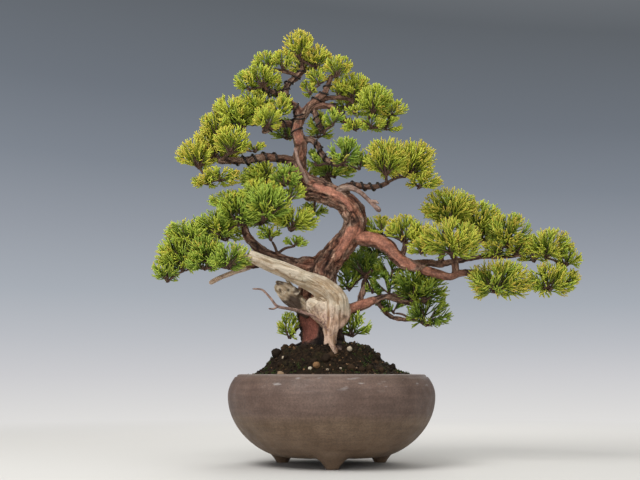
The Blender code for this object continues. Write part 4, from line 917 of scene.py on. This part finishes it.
def build_pot():
    """The bowl with a rounded lip, three feet that grow out of it, and the drain hole."""
    lip_turn = np.linspace(0, math.pi, 9)
    lip_middle = BELLY_RADIUS - RIM_DRAW_IN - WALL / 2 + 0.2
    lip = [
        (lip_middle - math.cos(turn) * WALL * 0.5, RIM_Z - 1.9 + math.sin(turn) * 1.9) for turn in lip_turn]
    outside = bowl_outline(FOOT_HEIGHT, BASE_RADIUS, BELLY_RADIUS, RIM_Z - 2.6, 26)
    inside = bowl_outline(FLOOR_Z, BASE_RADIUS - 1, BELLY_RADIUS - WALL, RIM_Z - 2.6, 16)
    under = [(radius, FOOT_HEIGHT) for radius in (40, 32, 22, DRAIN_RADIUS + 0.8)]
    hole = [(DRAIN_RADIUS, FOOT_HEIGHT + 0.8), (DRAIN_RADIUS, FLOOR_Z - 0.8), (DRAIN_RADIUS + 0.8, FLOOR_Z)]
    pot = lathe("stoneware_pot", lip + outside + under + hole + inside[::-1], POT_STEPS)
    feet = []
    for angle in FOOT_ANGLES:
        turn = math.radians(angle)
        middle = (FOOT_CIRCLE * math.cos(turn), FOOT_CIRCLE * math.sin(turn))
        outline = [(0.01, FOOT_OUTLINE[-1][1])] + FOOT_OUTLINE[::-1] + [(0.01, 0)]
        foot = lathe("foot", outline, 40, middle)
        weld(foot)
        feet.append(foot)
    group = bpy.data.collections.new("feet")
    bpy.context.scene.collection.children.link(group)
    for foot in feet:
        group.objects.link(foot)
    union = pot.modifiers.new("Feet", "BOOLEAN")
    union.operand_type = "COLLECTION"
    union.operation = "UNION"
    union.collection = group
    union.solver = "MANIFOLD"
    apply_modifiers(pot)
    for foot in feet:
        bpy.data.objects.remove(foot)
    bpy.data.collections.remove(group)
    blend_feet(pot)
    return settle(pot, clay_material(), "stoneware", "pot")


def blend_feet(pot):
    """Smooth the seam where each foot meets the bowl."""
    bm = bmesh.new()
    bm.from_mesh(pot.data)
    near = []
    for vert in bm.verts:
        place = (np.array(vert.co) - AXIS) / MM
        across = math.hypot(place[0], place[1])
        for angle in FOOT_ANGLES:
            turn = math.radians(angle)
            foot_x, foot_y = FOOT_CIRCLE * math.cos(turn), FOOT_CIRCLE * math.sin(turn)
            away = math.hypot(place[0] - foot_x, place[1] - foot_y)
            if 1.5 < place[2] < 22 and away < 19 and across > 25:
                near.append(vert)
    for _ in range(8):
        bmesh.ops.smooth_vert(bm, verts=near, factor=0.5, use_axis_x=True, use_axis_y=True, use_axis_z=True)
    bm.to_mesh(pot.data)
    bm.free()


def soil_surface(x, y):
    """Height of the crumbly mound."""
    radius = np.hypot(x, y)
    spot = np.stack([x, y, np.zeros_like(x)], axis=-1)
    warp = 3.0 * layered(spot / 17, 40)
    sides = [np.interp(radius + warp, *np.array(table, float).T) for table in (SOIL_LEFT, SOIL_RIGHT)]
    share = ramp(x / np.maximum(radius, 8), -0.8, 0.8)
    height = sides[0] * (1 - share) + sides[1] * share
    away = np.hypot((x - DIP[0]) / DIP[2], (y - DIP[1]) / DIP[3])
    height = height - DIP_DEPTH * (1 - ramp(away, 0.3, 1.0)) * ramp(height, 84, 94)
    edge = 1 - ramp(radius, 70, 78)
    return height + edge * (1.5 * layered(spot / 6.5, 50) + 0.7 * layered(spot / 2.2, 55))


def build_soil():
    """A crumbly mound with a closed underside that fills the bowl."""
    radii = np.linspace(0.02, 1, SOIL_RINGS) ** 0.85 * SOIL_RADIUS
    angles = np.arange(SOIL_STEPS) * math.tau / SOIL_STEPS
    x = radii[:, None] * np.cos(angles)
    y = radii[:, None] * np.sin(angles)
    top = np.stack([x, y, soil_surface(x, y)], axis=2)
    inside = bowl_outline(FLOOR_Z + 0.4, BASE_RADIUS - 2, BELLY_RADIUS - WALL - 0.6, 72.5, 9)
    inside += [(20, FLOOR_Z + 0.4), (19, FLOOR_Z + 1.8), (0.02, FLOOR_Z + 1.8)]
    rings = [
        np.stack([radius * np.cos(angles), radius * np.sin(angles), np.full(SOIL_STEPS, z)], axis=1)
        for radius, z in inside]
    points = np.concatenate([top.reshape(-1, 3), np.concatenate(rings)])
    levels = len(points) // SOIL_STEPS
    faces = []
    for level in range(levels - 1):
        for k in range(SOIL_STEPS):
            ahead = (k + 1) % SOIL_STEPS
            faces.append((
                level * SOIL_STEPS + k, (level + 1) * SOIL_STEPS + k,
                (level + 1) * SOIL_STEPS + ahead, level * SOIL_STEPS + ahead))
    soil = new_object("humus_mound", points, np.array(faces))
    return settle(soil, soil_material(), "soil", "soil")


def icosphere(divisions):
    """Points and triangles of a unit ball."""
    bm = bmesh.new()
    bmesh.ops.create_icosphere(bm, subdivisions=divisions, radius=1)
    points = np.array([vert.co for vert in bm.verts])
    triangles = np.array([[vert.index for vert in face.verts] for face in bm.faces])
    bm.free()
    return points, triangles


def scatter(count, rng, reach, power=0.5):
    """Even random places on the soil within a reach of the axis, clear of the trunk."""
    radius = rng.random(count * 2) ** power * reach
    turn = rng.random(count * 2) * math.tau
    x, y = radius * np.cos(turn), radius * np.sin(turn)
    clear = np.hypot(x - TRUNK[2][0], y - TRUNK[2][1]) > 13
    return x[clear][:count], y[clear][:count]


def scattered_lumps(name, x, y, sizes, tones, rng, divisions, sink):
    """Rough lumps set on the soil, in one piece."""
    ball, triangles = icosphere(divisions)
    count = len(x)
    z = soil_surface(x, y) + sizes * (0.6 - sink)
    turn = rng.normal(size=(count, 4))
    turn /= np.linalg.norm(turn, axis=1, keepdims=True)
    stretch = 0.75 + 0.5 * rng.random((count, 3))
    shaped = ball[None] * stretch[:, None] * sizes[:, None, None]
    rough = 1 + 0.34 * (rng.random((count, len(ball), 1)) - 0.5)
    if divisions > 1:
        offsets = rng.random((count, 1, 3)) * 40
        rough = 1 + 0.30 * layered((ball[None] * 1.6 + offsets), 7)[..., None]
    shaped = shaped * rough
    w, v = turn[:, None, :1], turn[:, None, 1:]
    crossed = 2 * np.cross(np.broadcast_to(v, shaped.shape), shaped)
    shaped = shaped + w * crossed + np.cross(np.broadcast_to(v, shaped.shape), crossed)
    points = shaped + np.stack([x, y, z], axis=1)[:, None]
    faces = triangles[None] + (np.arange(count) * len(ball))[:, None, None]
    item = new_object(name, points.reshape(-1, 3), faces.reshape(-1, 3))
    paint(item, tone=np.repeat(tones, len(ball)))
    return item


def build_grains():
    """Small grains all over the mound, some larger clods and a few pebbles."""
    material = grain_material()
    rng = np.random.default_rng(11)
    x, y = scatter(GRAINS, rng, 77.5, 0.55)
    sizes = 0.35 + 0.9 * rng.random(len(x)) ** 2.2
    grains = scattered_lumps("soil_grains", x, y, sizes, rng.random(len(x)) * 0.985, rng, 1, 0.5)
    settle(grains, material, "soil")
    turn = rng.random(CLODS) * math.tau
    radius = 34 + 26 * rng.random(CLODS)
    x, y = radius * np.cos(turn), radius * np.sin(turn)
    sizes = 1.4 + 2.6 * rng.random(CLODS) ** 1.6
    clods = scattered_lumps("soil_clods", x, y, sizes, 0.35 + 0.5 * rng.random(CLODS), rng, 3, 0.45)
    settle(clods, material, "soil")
    stones = scattered_lumps("pebbles", *np.array(PEBBLES).T, rng, 3, 0.2)
    settle(stones, material, "soil")


def build_moss():
    """Low tufts of moss near the foot of the mound."""
    rng = np.random.default_rng(23)
    x, y = scatter(MOSS_TUFTS * 4, rng, 76, 0.5)
    spot = np.stack([x, y, np.zeros_like(x)], axis=1)
    patchy = layered(spot / 13, 80) + 0.25 * ramp(np.hypot(x, y), 40, 70) > 0.12
    patchy |= np.hypot(x - MOSS_PATCH[0], y - MOSS_PATCH[1]) < MOSS_PATCH[2]
    x, y = x[patchy][:MOSS_TUFTS], y[patchy][:MOSS_TUFTS]
    count = len(x) * MOSS_BLADES
    x = np.repeat(x, MOSS_BLADES) + rng.normal(size=count) * 0.7
    y = np.repeat(y, MOSS_BLADES) + rng.normal(size=count) * 0.7
    start = np.stack([x, y, soil_surface(x, y) - 0.3], axis=1)
    tilts = [rng.normal(size=count) * 0.5, rng.normal(size=count) * 0.5]
    lean = unit(np.stack([*tilts, np.ones(count)], axis=1))
    end = start + lean * (1.3 + 1.3 * rng.random(count))[:, None]
    paths = np.stack([start, (start + end) / 2, end], axis=1)
    radii = np.tile(np.array([0.34, 0.3]), (count, 1))
    points, triangles = sweep(paths, radii, 3, rng.random(count) * math.tau)
    moss = new_object("moss", points, triangles)
    paint(moss, fresh=spread(np.tile(np.array([0.0, 0.5, 1.0]), (count, 1)), 3))
    settle(moss, moss_material(), "soil")


def sweep(paths, radii, corners, roll):
    """Many thin tubes at once from paths (n, m, 3) and ring radii (n, m - 1); each ends in a point."""
    count, steps = paths.shape[:2]
    chord = unit(paths[:, -1] - paths[:, 0])
    helper = np.where(np.abs(chord[:, 2:3]) > 0.9, np.array([[1.0, 0, 0]]), np.array([[0, 0, 1.0]]))
    side = unit(np.cross(chord, helper))
    other = np.cross(chord, side)
    angle = roll[:, None] + np.arange(corners) * math.tau / corners
    ring = np.cos(angle)[..., None] * side[:, None] + np.sin(angle)[..., None] * other[:, None]
    rings = paths[:, :-1, None] + radii[:, :, None, None] * ring[:, None]
    points = np.concatenate([rings.reshape(count, -1, 3), paths[:, -1:]], axis=1)
    local = []
    for level in range(steps - 2):
        for k in range(corners):
            here, ahead = level * corners + k, level * corners + (k + 1) % corners
            local += [(here, ahead, here + corners), (ahead, ahead + corners, here + corners)]
    last = (steps - 2) * corners
    tip = last + corners
    local += [(last + k, last + (k + 1) % corners, tip) for k in range(corners)]
    local += [(0, k + 1, k) for k in range(1, corners - 1)]
    triangles = np.array(local) + (np.arange(count) * (tip + 1))[:, None, None]
    return points.reshape(-1, 3), triangles.reshape(-1, 3)


def spread(values, corners):
    """One number for each point of sweep's tubes, from values (n, m) along the paths."""
    rings = np.repeat(values[:, :-1], corners, axis=1)
    return np.concatenate([rings, values[:, -1:]], axis=1).ravel()


def bend(start, control, end, shares):
    """Points (n, m, 3) at shares of the way along curves with one control point."""
    t = np.asarray(shares, float)[None, :, None]
    return (1 - t) ** 2 * start[:, None] + 2 * t * (1 - t) * control[:, None] + t * t * end[:, None]


def bend_at(start, control, end, share):
    """One point and its direction on each curve."""
    t = share[:, None]
    point = (1 - t) ** 2 * start + 2 * t * (1 - t) * control + t * t * end
    way = 2 * (1 - t) * (control - start) + 2 * t * (end - control)
    return point, unit(way)


class Leafage:
    """The cords and twigs of one spray, gathered for one mesh."""

    def __init__(self):
        self.points = []
        self.triangles = []
        # One of the values is how far out in its tuft each point lies, which the material turns into painted
        # shade.
        self.values = {"fresh": [], "tone": [], "gold": [], "outer": [], "woody": []}
        self.size = 0

    def add(self, paths, radii, corners, roll, **values):
        points, triangles = sweep(paths, radii, corners, roll)
        self.points.append(points)
        self.triangles.append(triangles + self.size)
        self.size += len(points)
        steps = paths.shape[1]
        for name in self.values:
            given = np.asarray(values.get(name, 0.0), float)
            if given.ndim < 2:
                given = np.repeat(np.broadcast_to(given, (len(paths),))[:, None], steps, axis=1)
            self.values[name].append(spread(given, corners))

    def piece(self, name):
        item = new_object(name, np.concatenate(self.points), np.concatenate(self.triangles))
        paint(item, **{key: np.concatenate(parts) for key, parts in self.values.items()})
        return item


def tuft_base(tuft, root):
    """Where a tuft's shoots start: low in the tuft, on the side of the spray's root."""
    base = np.array(tuft[:3], float) - (0, 0, BASE_DROP * tuft[5])
    towards = np.array(root[:3]) - base
    length = np.linalg.norm(towards)
    return base + towards / length * min(length * 0.3, 0.25 * tuft[3])


def stems_of(root, bases):
    """Rows of stems that join the bases to the root, each from the nearest place already joined."""
    reached = [(np.array(root[:3], float), root[3])]
    waiting = list(range(len(bases)))
    stems = []
    while waiting:
        gap, spot, number = min(
            (np.linalg.norm(place - bases[number]), spot, number)
            for spot, (place, radius) in enumerate(reached) for number in waiting)
        waiting.remove(number)
        place, radius = reached[spot]
        middle = (place + bases[number]) / 2 + (0, 0, STEM_ARCH * gap)
        thin = max(STEM_END_RADIUS, radius * 0.75)
        stems.append([(*place, radius), (*middle, (radius + thin) / 2), (*bases[number], thin)])
        reached.append((bases[number], thin))
    return stems


def inside_share(points, middle, axes):
    """How far out in the tuft points lie: 0 in its middle, 1 on its skin."""
    return np.linalg.norm((points - middle) / axes, axis=-1)


def pull_in(points, middle, axes, limit):
    """Bring points that lie past the limit back to it."""
    share = inside_share(points, middle, axes)
    scale = np.minimum(1, limit / np.maximum(share, 1e-6))
    return middle + (points - middle) * scale[:, None]


def grow_tuft(leafage, tuft, base, tint, fullness, rng):
    """Fill one tuft: boughs from its base, shoots from the boughs, cords from the shoots."""
    middle, axes = np.array(tuft[:3], float), np.array(tuft[3:], float)
    size = axes.prod() ** (1 / 3)
    yellow, golden = tint
    yellow = yellow + 0.11 * rng.normal()
    boughs = max(4, round(size ** 2 / BOUGH_AREA * fullness))
    index = np.arange(boughs) + 0.5
    rise = 1 - index / boughs * (1 - LOWEST_BOUGH)
    turn = index * GOLDEN_ANGLE + rng.random() * math.tau
    flat = np.sqrt(1 - rise ** 2)
    ways = np.stack([flat * np.cos(turn), flat * np.sin(turn), rise], axis=1)
    ways = unit(ways + 0.16 * rng.normal(size=ways.shape))

    start = base + rng.normal(size=(boughs, 3)) * 0.5
    end = middle + ways * axes * (0.42 + 0.2 * rng.random((boughs, 1)))
    span = np.linalg.norm(end - start, axis=1, keepdims=True)
    control = (start + end) / 2 + rng.normal(size=(boughs, 3)) * 0.12 * span - (0, 0, 0.06) * span
    shares = [0, 0.3, 0.6, 0.9, 1]
    leafage.add(
        bend(start, control, end, shares), np.tile([0.95, 0.8, 0.7, 0.5], (boughs, 1)), 5,
        rng.random(boughs) * 6, woody=np.tile([1, 1, 0.9, 0.5, 0.3], (boughs, 1)), fresh=0.2,
        tone=0.5, outer=0.5)

    count = boughs * SHOOTS_A_BOUGH
    parent = np.repeat(np.arange(boughs), SHOOTS_A_BOUGH)
    share = np.tile(np.linspace(0.3, 1.0, SHOOTS_A_BOUGH), boughs) - 0.08 * rng.random(count)
    origin, way = bend_at(start[parent], control[parent], end[parent], share)
    fan = unit(np.cross(ways, rng.normal(size=(boughs, 3))))[parent]
    flip = np.tile([1.0, -1.0], count // 2 + 1)[:count, None]
    opening = 0.42 * np.linspace(1, 0.3, SHOOTS_A_BOUGH)
    fan = fan * flip * np.tile(opening, boughs)[:, None]
    aim = unit(ways[parent] + fan + 0.17 * rng.normal(size=(count, 3)))
    aim[:, 2] = np.maximum(aim[:, 2], -0.7)
    reach = 0.90 + 0.20 * rng.random((count, 1))
    tip = middle + aim * axes * reach
    span = np.linalg.norm(tip - origin, axis=1, keepdims=True)
    shortened = np.minimum(1, LONGEST_SHOOT / span)
    origin = tip + (origin - tip) * shortened
    span = span * shortened
    knee = (origin + tip) / 2 + rng.normal(size=(count, 3)) * 0.05 * span - (0, 0, 0.10) * span
    tone = np.clip(0.5 + (yellow - 0.5) * 0.8 + 0.14 * rng.normal(size=count), 0, 1)
    gold = (rng.random(count) < golden) * (0.35 + 0.65 * rng.random(count))
    paths = bend(origin, knee, tip, [0, 0.4, 0.8, 1])
    grown = np.array([0.12, 0.5, 0.85, 1.0])
    leafage.add(
        paths, np.tile(CORD_RADIUS * np.array([1.05, 1.0, 0.9]), (count, 1)), 3,
        rng.random(count) * 6, fresh=np.tile(grown, (count, 1)), tone=tone, gold=gold,
        outer=np.clip(inside_share(paths, middle, axes), 0, 1))

    total = count * CORDS_A_SHOOT
    parent = np.repeat(np.arange(count), CORDS_A_SHOOT)
    share = np.tile(np.linspace(0.16, 0.8, CORDS_A_SHOOT), count) + 0.05 * rng.normal(size=total)
    share = np.clip(share, 0.06, 0.9)
    origin, way = bend_at(origin[parent], knee[parent], tip[parent], share)
    normal = unit(np.cross(way, rng.normal(size=(count, 3))[parent]))
    flip = np.tile([1.0, -1.0], total // 2 + 1)[:total][:, None]
    wobble = rng.normal(size=(total, 3)) * 0.25
    lateral = unit(np.cross(normal, way) * flip + wobble)
    lean = np.radians(rng.uniform(*CORD_LEAN, total))[:, None]
    length = span[parent, 0] * (0.82 - 0.36 * share) * rng.uniform(0.75, 1.25, total)
    length = np.clip(length, *CORD_LENGTH)[:, None]
    opened = lean + math.radians(13)
    closed = lean - math.radians(6)
    knee = origin + 0.5 * length * (np.cos(opened) * way + np.sin(opened) * lateral)
    tip = knee + 0.5 * length * (np.cos(closed) * way + np.sin(closed) * lateral)
    tip = pull_in(tip, middle, axes, rng.uniform(1.0, 1.16, total))
    paths = bend(origin, knee, tip, [0, 0.5, 0.93, 1])
    begun = np.interp(share, [0, 1], [0.35, 0.7])
    fresh = begun[:, None] + (1 - begun)[:, None] * np.array([0, 0.5, 0.9, 1.0])
    leafage.add(
        paths, np.tile(CORD_RADIUS * np.array([1.0, 0.98, 0.78]), (total, 1)), 3,
        rng.random(total) * 6, fresh=fresh, gold=gold[parent] * rng.uniform(0.5, 1, total),
        tone=np.clip(tone[parent] + 0.08 * rng.normal(size=total), 0, 1),
        outer=np.clip(inside_share(paths, middle, axes), 0, 1))


def build_foliage():
    """Every spray: brown stems and twigs with tufts of cord-like shoots."""
    green = foliage_material("juniper_green", *GREEN)
    shade = foliage_material("juniper_painted_shade_green", *PAINTED_SHADE_GREEN)
    for number, (name, (tint, root, tufts)) in enumerate(FOLIAGE.items()):
        rng = np.random.default_rng(100 + number)
        leafage = Leafage()
        bases = [tuft_base(tuft, root) for tuft in tufts]
        for stem in stems_of(root, bases):
            rows = smooth_rows(stem, 3.0)
            radii = rows[None, :-1, 3]
            leafage.add(rows[None, :, :3], radii, 7, np.zeros(1), woody=1.0, outer=0.4)
        for tuft, base in zip(tufts, bases):
            grow_tuft(leafage, tuft, base, tint, AIRY.get(name, 1.0), rng)
        # Sprays low under the canopy and behind it take the darker copy of the green: painted shade.
        deep = name in PAINTED_SHADE_SPRAYS
        settle(
            leafage.piece(name + "_cords"), shade if deep else green,
            "shade_foliage" if deep else "foliage", name)


def rounded_end(rows):
    """The rows with one more, so that the tube ends in a narrow tip."""
    before, last = np.array(rows[-2], float), np.array(rows[-1], float)
    way = unit(last[:3] - before[:3])
    return [*rows, (*(last[:3] + way * last[3] * 0.9), last[3] * 0.4)]


def melted(name, all_rows, voxel):
    """One closed skin over all the tubes."""
    points, faces, size = [], [], 0
    for rows in all_rows:
        tube_points, tube_faces = tube_arrays(Path(rounded_end(rows), 1.0), TUBE_SIDES)
        points.append(tube_points)
        faces += [tuple(corner + size for corner in face) for face in tube_faces]
        size += len(tube_points)
    item = new_object(name, np.concatenate(points), faces)
    remesh = item.modifiers.new("Melt", "REMESH")
    remesh.mode = "VOXEL"
    remesh.voxel_size = voxel * MM
    apply_modifiers(item)
    return item


def grain_coordinates(places, all_rows, twist):
    """For points on wood: across, across, along in millimetres by the nearest tube, and its radius."""
    paths = [Path(rows, 1.5) for rows in all_rows]
    points = np.concatenate([path.points for path in paths])
    radii = np.concatenate([path.radii for path in paths])
    tangents = np.concatenate([path.tangents for path in paths])
    sides = np.concatenate([path.sides for path in paths])
    others = np.concatenate([path.others for path in paths])
    reach = np.concatenate([path.reach + 500 * number for number, path in enumerate(paths)])
    nearest = np.empty(len(places), int)
    for first in range(0, len(places), 4000):
        chunk = places[first:first + 4000]
        gap = np.linalg.norm(chunk[:, None] - points[None], axis=2) - radii
        nearest[first:first + 4000] = gap.argmin(axis=1)
    offset = places - points[nearest]
    across = (offset * sides[nearest]).sum(1)
    other = (offset * others[nearest]).sum(1)
    along = reach[nearest] + (offset * tangents[nearest]).sum(1)
    turn = along * twist
    turned = across * np.cos(turn) - other * np.sin(turn)
    turned_other = across * np.sin(turn) + other * np.cos(turn)
    return np.stack([turned, turned_other, along], axis=1), radii[nearest]


def root_rows(index):
    """One surface root: out from the trunk's foot and down into the soil."""
    turn = math.radians(ROOT_START + 360 / ROOT_COUNT * index)
    sway = math.radians(9) * (-1) ** index
    rows = []
    for reach, z, radius in ROOT_PATH:
        swung = turn + sway * reach / ROOT_PATH[-1][0]
        x = TRUNK[2][0] + reach * math.cos(swung)
        y = TRUNK[2][1] + reach * math.sin(swung)
        rows.append((x, y, z, radius))
    return rows


def swaying(points, size, reach, seeds):
    """The points moved sideways by smooth noise, with one seed for each axis that sways."""
    sway = [noise(points / size, seed) for seed in seeds]
    while len(sway) < 3:
        sway.append(np.zeros(len(points)))
    return points + reach * np.stack(sway, axis=1)


def displace(item, places, normals, height):
    """Raise the surface by a height in millimetres at each point."""
    moved = places + normals * height[:, None]
    item.data.vertices.foreach_set("co", to_frame(moved).astype(np.float32).ravel())
    item.data.update()


def near(places, x, y, z, reach):
    """1 at a place, falling softly to 0 at its reach."""
    away = np.linalg.norm(places - (x, y, z), axis=1)
    return 1 - ramp(away, reach * 0.45, reach)


def build_trunk():
    """Living trunk, roots and branches with flaking strips of bark and bare veins."""
    wood = [TRUNK, *BRANCHES.values(), *[root_rows(index) for index in range(ROOT_COUNT)]]
    trunk = melted("living_wood", wood, TRUNK_VOXEL)
    places = (read(trunk.data, "co") - AXIS) / MM
    normals = read(trunk.data, "normal")
    grain, radii = grain_coordinates(places, wood, BARK_TWIST)
    wavy = swaying(grain, 9, 1.8, (3, 4))
    strips = 1 - 2 * np.abs(layered(wavy * (0.30, 0.30, 0.035), 10, 3))
    cracks = ramp(np.abs(layered(wavy * (0.16, 0.16, 0.028), 75, 3)), 0.12, 0.0)
    splits = ramp(np.abs(layered(wavy * (0.30, 0.30, 0.085), 77, 2)), 0.13, 0.0)
    knobs = ramp(noise(places / 7.5, 66), 0.35, 0.8)
    fibres = layered(wavy * (0.9, 0.9, 0.10), 20, 2)
    plates = ramp(layered(wavy * (0.36, 0.36, 0.13), 30, 2), -0.05, 0.10)
    lumps = layered(grain * (0.075, 0.075, 0.03), 60, 2)
    vein = np.zeros(len(places))
    ragged = 0.55 * layered(wavy * (0.14, 0.14, 0.022), 72, 3)
    for rows in VEINS:
        band = smooth_rows(rows, 2.0)
        away = np.full(len(places), 9.0)
        for row in band:
            away = np.minimum(away, np.linalg.norm(places - row[:3], axis=1) / row[3])
        vein = np.maximum(vein, 1 - ramp(away + ragged, 0.75, 1.15))
    lines = ramp(layered(wavy * (0.13, 0.13, 0.012), 70, 2), 0.10, 0.28)
    vein = np.clip(vein + 0.4 * lines * (radii > 2.4), 0, 1)
    thick = np.clip(0.35 + radii / 14, 0.4, 1.15)
    rough = 0.65 * strips + 0.75 * plates + 0.25 * fibres - 1.2 * cracks - 0.7 * splits
    height = rough * thick * (1 - 0.78 * vein) + (0.09 * lumps + 0.16 * knobs) * radii + 0.35 * vein * thick
    patch = np.hypot((places[:, 0] - PATCH[0]) / PATCH[2], (places[:, 2] - PATCH[1]) / PATCH[3])
    patch = (1 - ramp(patch + 0.16 * noise(places / 5, 97), 0.72, 1.0)) * (places[:, 1] < 2)
    height = height * (1 - 0.8 * patch) - 0.6 * patch
    displace(trunk, places, normals, height - 0.3 * thick)
    relief = 0.60 + 0.24 * strips + 0.26 * (plates - 0.5) + 0.24 * fibres - 0.50 * cracks - 0.32 * splits
    # The dark foot rises on the left behind the peg and the limb of the deadwood: dark bark with painted
    # shade under and between the deadwood.
    raised = 18 * ramp(-places[:, 0], 3, 13)
    foot = 1 - ramp(places[:, 2] - raised + 6 * noise(places / 8, 90), 112, 138)
    foot = foot * ramp(22 - np.abs(places[:, 0] + 6), -22, 0)
    worn = ramp(noise(wavy * (0.05, 0.05, 0.02), 95), 0.0, 0.5) * ramp(places[:, 2], 120, 160)
    paint_grain(trunk, wavy)
    paint(
        trunk, relief=np.clip(relief, 0, 1), vein=vein, worn=worn, thin=1 - ramp(radii, 2.2, 5.5),
        dark=np.clip(foot * (1 - 0.85 * vein) * (1 - patch), 0, 1), patch=patch)
    return settle(trunk, bark_material(), "bark", "trunk")


def build_jin(name, all_rows, material):
    """One length of weathered deadwood, with its grain carved along it."""
    jin = melted(name + "_grain", all_rows, JIN_VOXEL.get(name, THIN_VOXEL))
    places = (read(jin.data, "co") - AXIS) / MM
    normals = read(jin.data, "normal")
    grain, radii = grain_coordinates(places, GRAIN_GUIDES.get(name, all_rows), JIN_TWIST)
    wavy = swaying(grain, 7, 1.0, (3, 4))
    grooves = layered(wavy * (0.42, 0.42, 0.03), 110, 3)
    cracks = ramp(np.abs(layered(wavy * (0.26, 0.26, 0.011), 120, 3)), 0.06, 0.0)
    lumps = layered(places * (0.16 if name == "jin_peg" else 0.085), 130, 2)
    thick = np.clip(radii / 8, 0.3, 1)
    if name == "jin_peg":
        thick = thick * 1.7
    height = thick * (0.95 * grooves - 0.55 * cracks) + lumps * radii * 0.14
    displace(jin, places, normals, height)
    relief = np.clip(0.60 + 0.55 * grooves - 0.35 * cracks, 0, 1)
    rosy = 1 - ramp(places[:, 2] + 5 * noise(places / 7, 140), 122, 142)
    dark = np.zeros(len(places))
    if name in ("jin_twig", "jin_stub", "jin_spike", "jin_stick"):
        rosy = rosy * 0 + 0.7
        dark = (0.15 if name == "jin_stick" else 0.5) * ramp(layered(places / 3.5, 152, 2), -0.05, 0.3)
    tanned = np.zeros(len(places))
    if name == "jin_main":
        bent = swaying(places, 3, 1.6, (153, 154, 155))
        ring = np.abs(np.linalg.norm((bent - KNOT) * (1.25, 1, 0.85), axis=1) - KNOT_RADIUS)
        knot = 0.4 * ramp(ring, 1.3, 0.1) + 0.3 * near(bent, *KNOT, 3.0)
        # The knot is the wood's own dark ring; the dark hole at HOLLOW is painted shade.
        dark = np.maximum(0.75 * near(bent, *HOLLOW, 3.6), knot)
        for spot in TAN_SPOTS:
            tanned = np.maximum(tanned, near(places, *spot))
        # Painted shade: faces turned down get the darker tan.
        tanned = np.maximum(tanned, ramp(-normals[:, 2], 0.15, 0.8) * 0.7)
    if name == "jin_peg":
        bent = swaying(places, 5, 3.0, (153, 154, 155))
        # Painted shade: the peg's hollow and its lower edge are painted dark; the noise patches are its own
        # dark mottling.
        hollow = near(bent, -32, -13, 138, 10)
        dark = np.clip(hollow + 0.85 * ramp(layered(places / 5, 150, 2), 0.08, 0.30), 0, 0.95)
        dark = np.maximum(dark, 1 - ramp(places[:, 2] - 0.45 * (-24 - places[:, 0]), 128, 137))
        tanned = ramp(noise(places / 4, 151), -0.55, -0.1)
    paint_grain(jin, wavy)
    paint(jin, relief=relief, rosy=rosy, dark=dark, tanned=tanned)
    return settle(jin, material, "deadwood", name)


def build_jins():
    bleached = deadwood_material("bleached_wood", *BLEACHED)
    grey = deadwood_material("grey_wood", *GREY)
    for name, all_rows in JINS.items():
        build_jin(name, all_rows, bleached if name in ("jin_main", "jin_stick", "jin_peg") else grey)


def build_wires():
    """Dark training wire coiled round the thin branches."""
    material = wire_material()
    for name, (branch, start, end, turns) in {**WIRES, **FREE_WIRES}.items():
        path = Path(TRUNK if branch == "trunk" else BRANCHES[branch])
        radius = WIRE_RADIUS if name in WIRES else THIN_WIRE_RADIUS
        count = round(turns * WIRE_STEPS)
        helix = []
        for step in range(count + 1):
            place, thick, tangent, side, other = path.at(start + (end - start) * step / count)
            turn = math.tau * turns * step / count
            out = side * math.cos(turn) + other * math.sin(turn)
            helix.append((*(place + out * (thick + radius + WIRE_GAP)), radius))
        wire = new_object(name + "_coil", *tube_arrays(Path(helix, 0.9), WIRE_SIDES))
        settle(wire, material, "wire", *([name] if name in WIRES else []))


def build_stage():
    """A wide pale floor."""
    corners = [(x * FLOOR_HALF, y * FLOOR_HALF, 0) for x, y in ((-1, -1), (1, -1), (1, 1), (-1, 1))]
    floor = new_object("floor", corners, [(0, 1, 2, 3)])
    floor.data.materials.append(floor_material())


def build_world():
    """Pale at the horizon, slate grey above it, and soft white high overhead."""
    world = bpy.data.worlds.new("backdrop")
    bpy.context.scene.world = world
    world.use_nodes = True
    tree = world.node_tree
    background = tree.nodes["Background"]
    coordinates = tree.nodes.new("ShaderNodeTexCoord")
    parts = tree.nodes.new("ShaderNodeSeparateXYZ")
    colours = tree.nodes.new("ShaderNodeValToRGB")
    tree.links.new(coordinates.outputs["Generated"], parts.inputs[0])
    lean = tree.nodes.new("ShaderNodeMath")
    lean.operation = "MULTIPLY_ADD"
    lean.inputs[1].default_value = SKY_LEAN
    lean.inputs[2].default_value = 1.0
    rise = tree.nodes.new("ShaderNodeMath")
    rise.operation = "MULTIPLY"
    tree.links.new(parts.outputs["X"], lean.inputs[0])
    tree.links.new(lean.outputs[0], rise.inputs[0])
    tree.links.new(parts.outputs["Z"], rise.inputs[1])
    tree.links.new(rise.outputs[0], colours.inputs["Fac"])
    tree.links.new(colours.outputs["Color"], background.inputs["Color"])
    fill_ramp(colours, SKY)


def soft_light(name, place, size, power, aim):
    """A square softbox."""
    light = bpy.data.lights.new(name, "AREA")
    light.shape = "SQUARE"
    light.size = size * MM
    light.energy = power
    item = bpy.data.objects.new(name, light)
    item.location = to_frame(place)
    item.rotation_euler = (Vector(aim) - Vector(place)).to_track_quat("-Z", "Y").to_euler()
    bpy.context.scene.collection.objects.link(item)


def build_camera():
    camera = bpy.data.cameras.new("camera")
    camera.lens = CAMERA_LENS
    camera.clip_start = 0.01
    camera.clip_end = 200
    item = bpy.data.objects.new("camera", camera)
    item.location = to_frame(CAMERA_PLACE)
    item.rotation_euler = (math.radians(90 + CAMERA_TILT), 0, 0)
    bpy.context.scene.collection.objects.link(item)
    bpy.context.scene.camera = item


build_camera()
build_world()
build_stage()
for softbox in SOFTBOXES:
    soft_light(*softbox)
bpy.context.scene.view_settings.view_transform = "Standard"
build_pot()
build_soil()
build_grains()
build_moss()
build_trunk()
build_jins()
build_wires()
build_foliage()
mesh_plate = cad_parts["drainage_mesh"]
mesh_plate.data.materials.clear()
mesh_plate.data.materials.append(plastic_material())
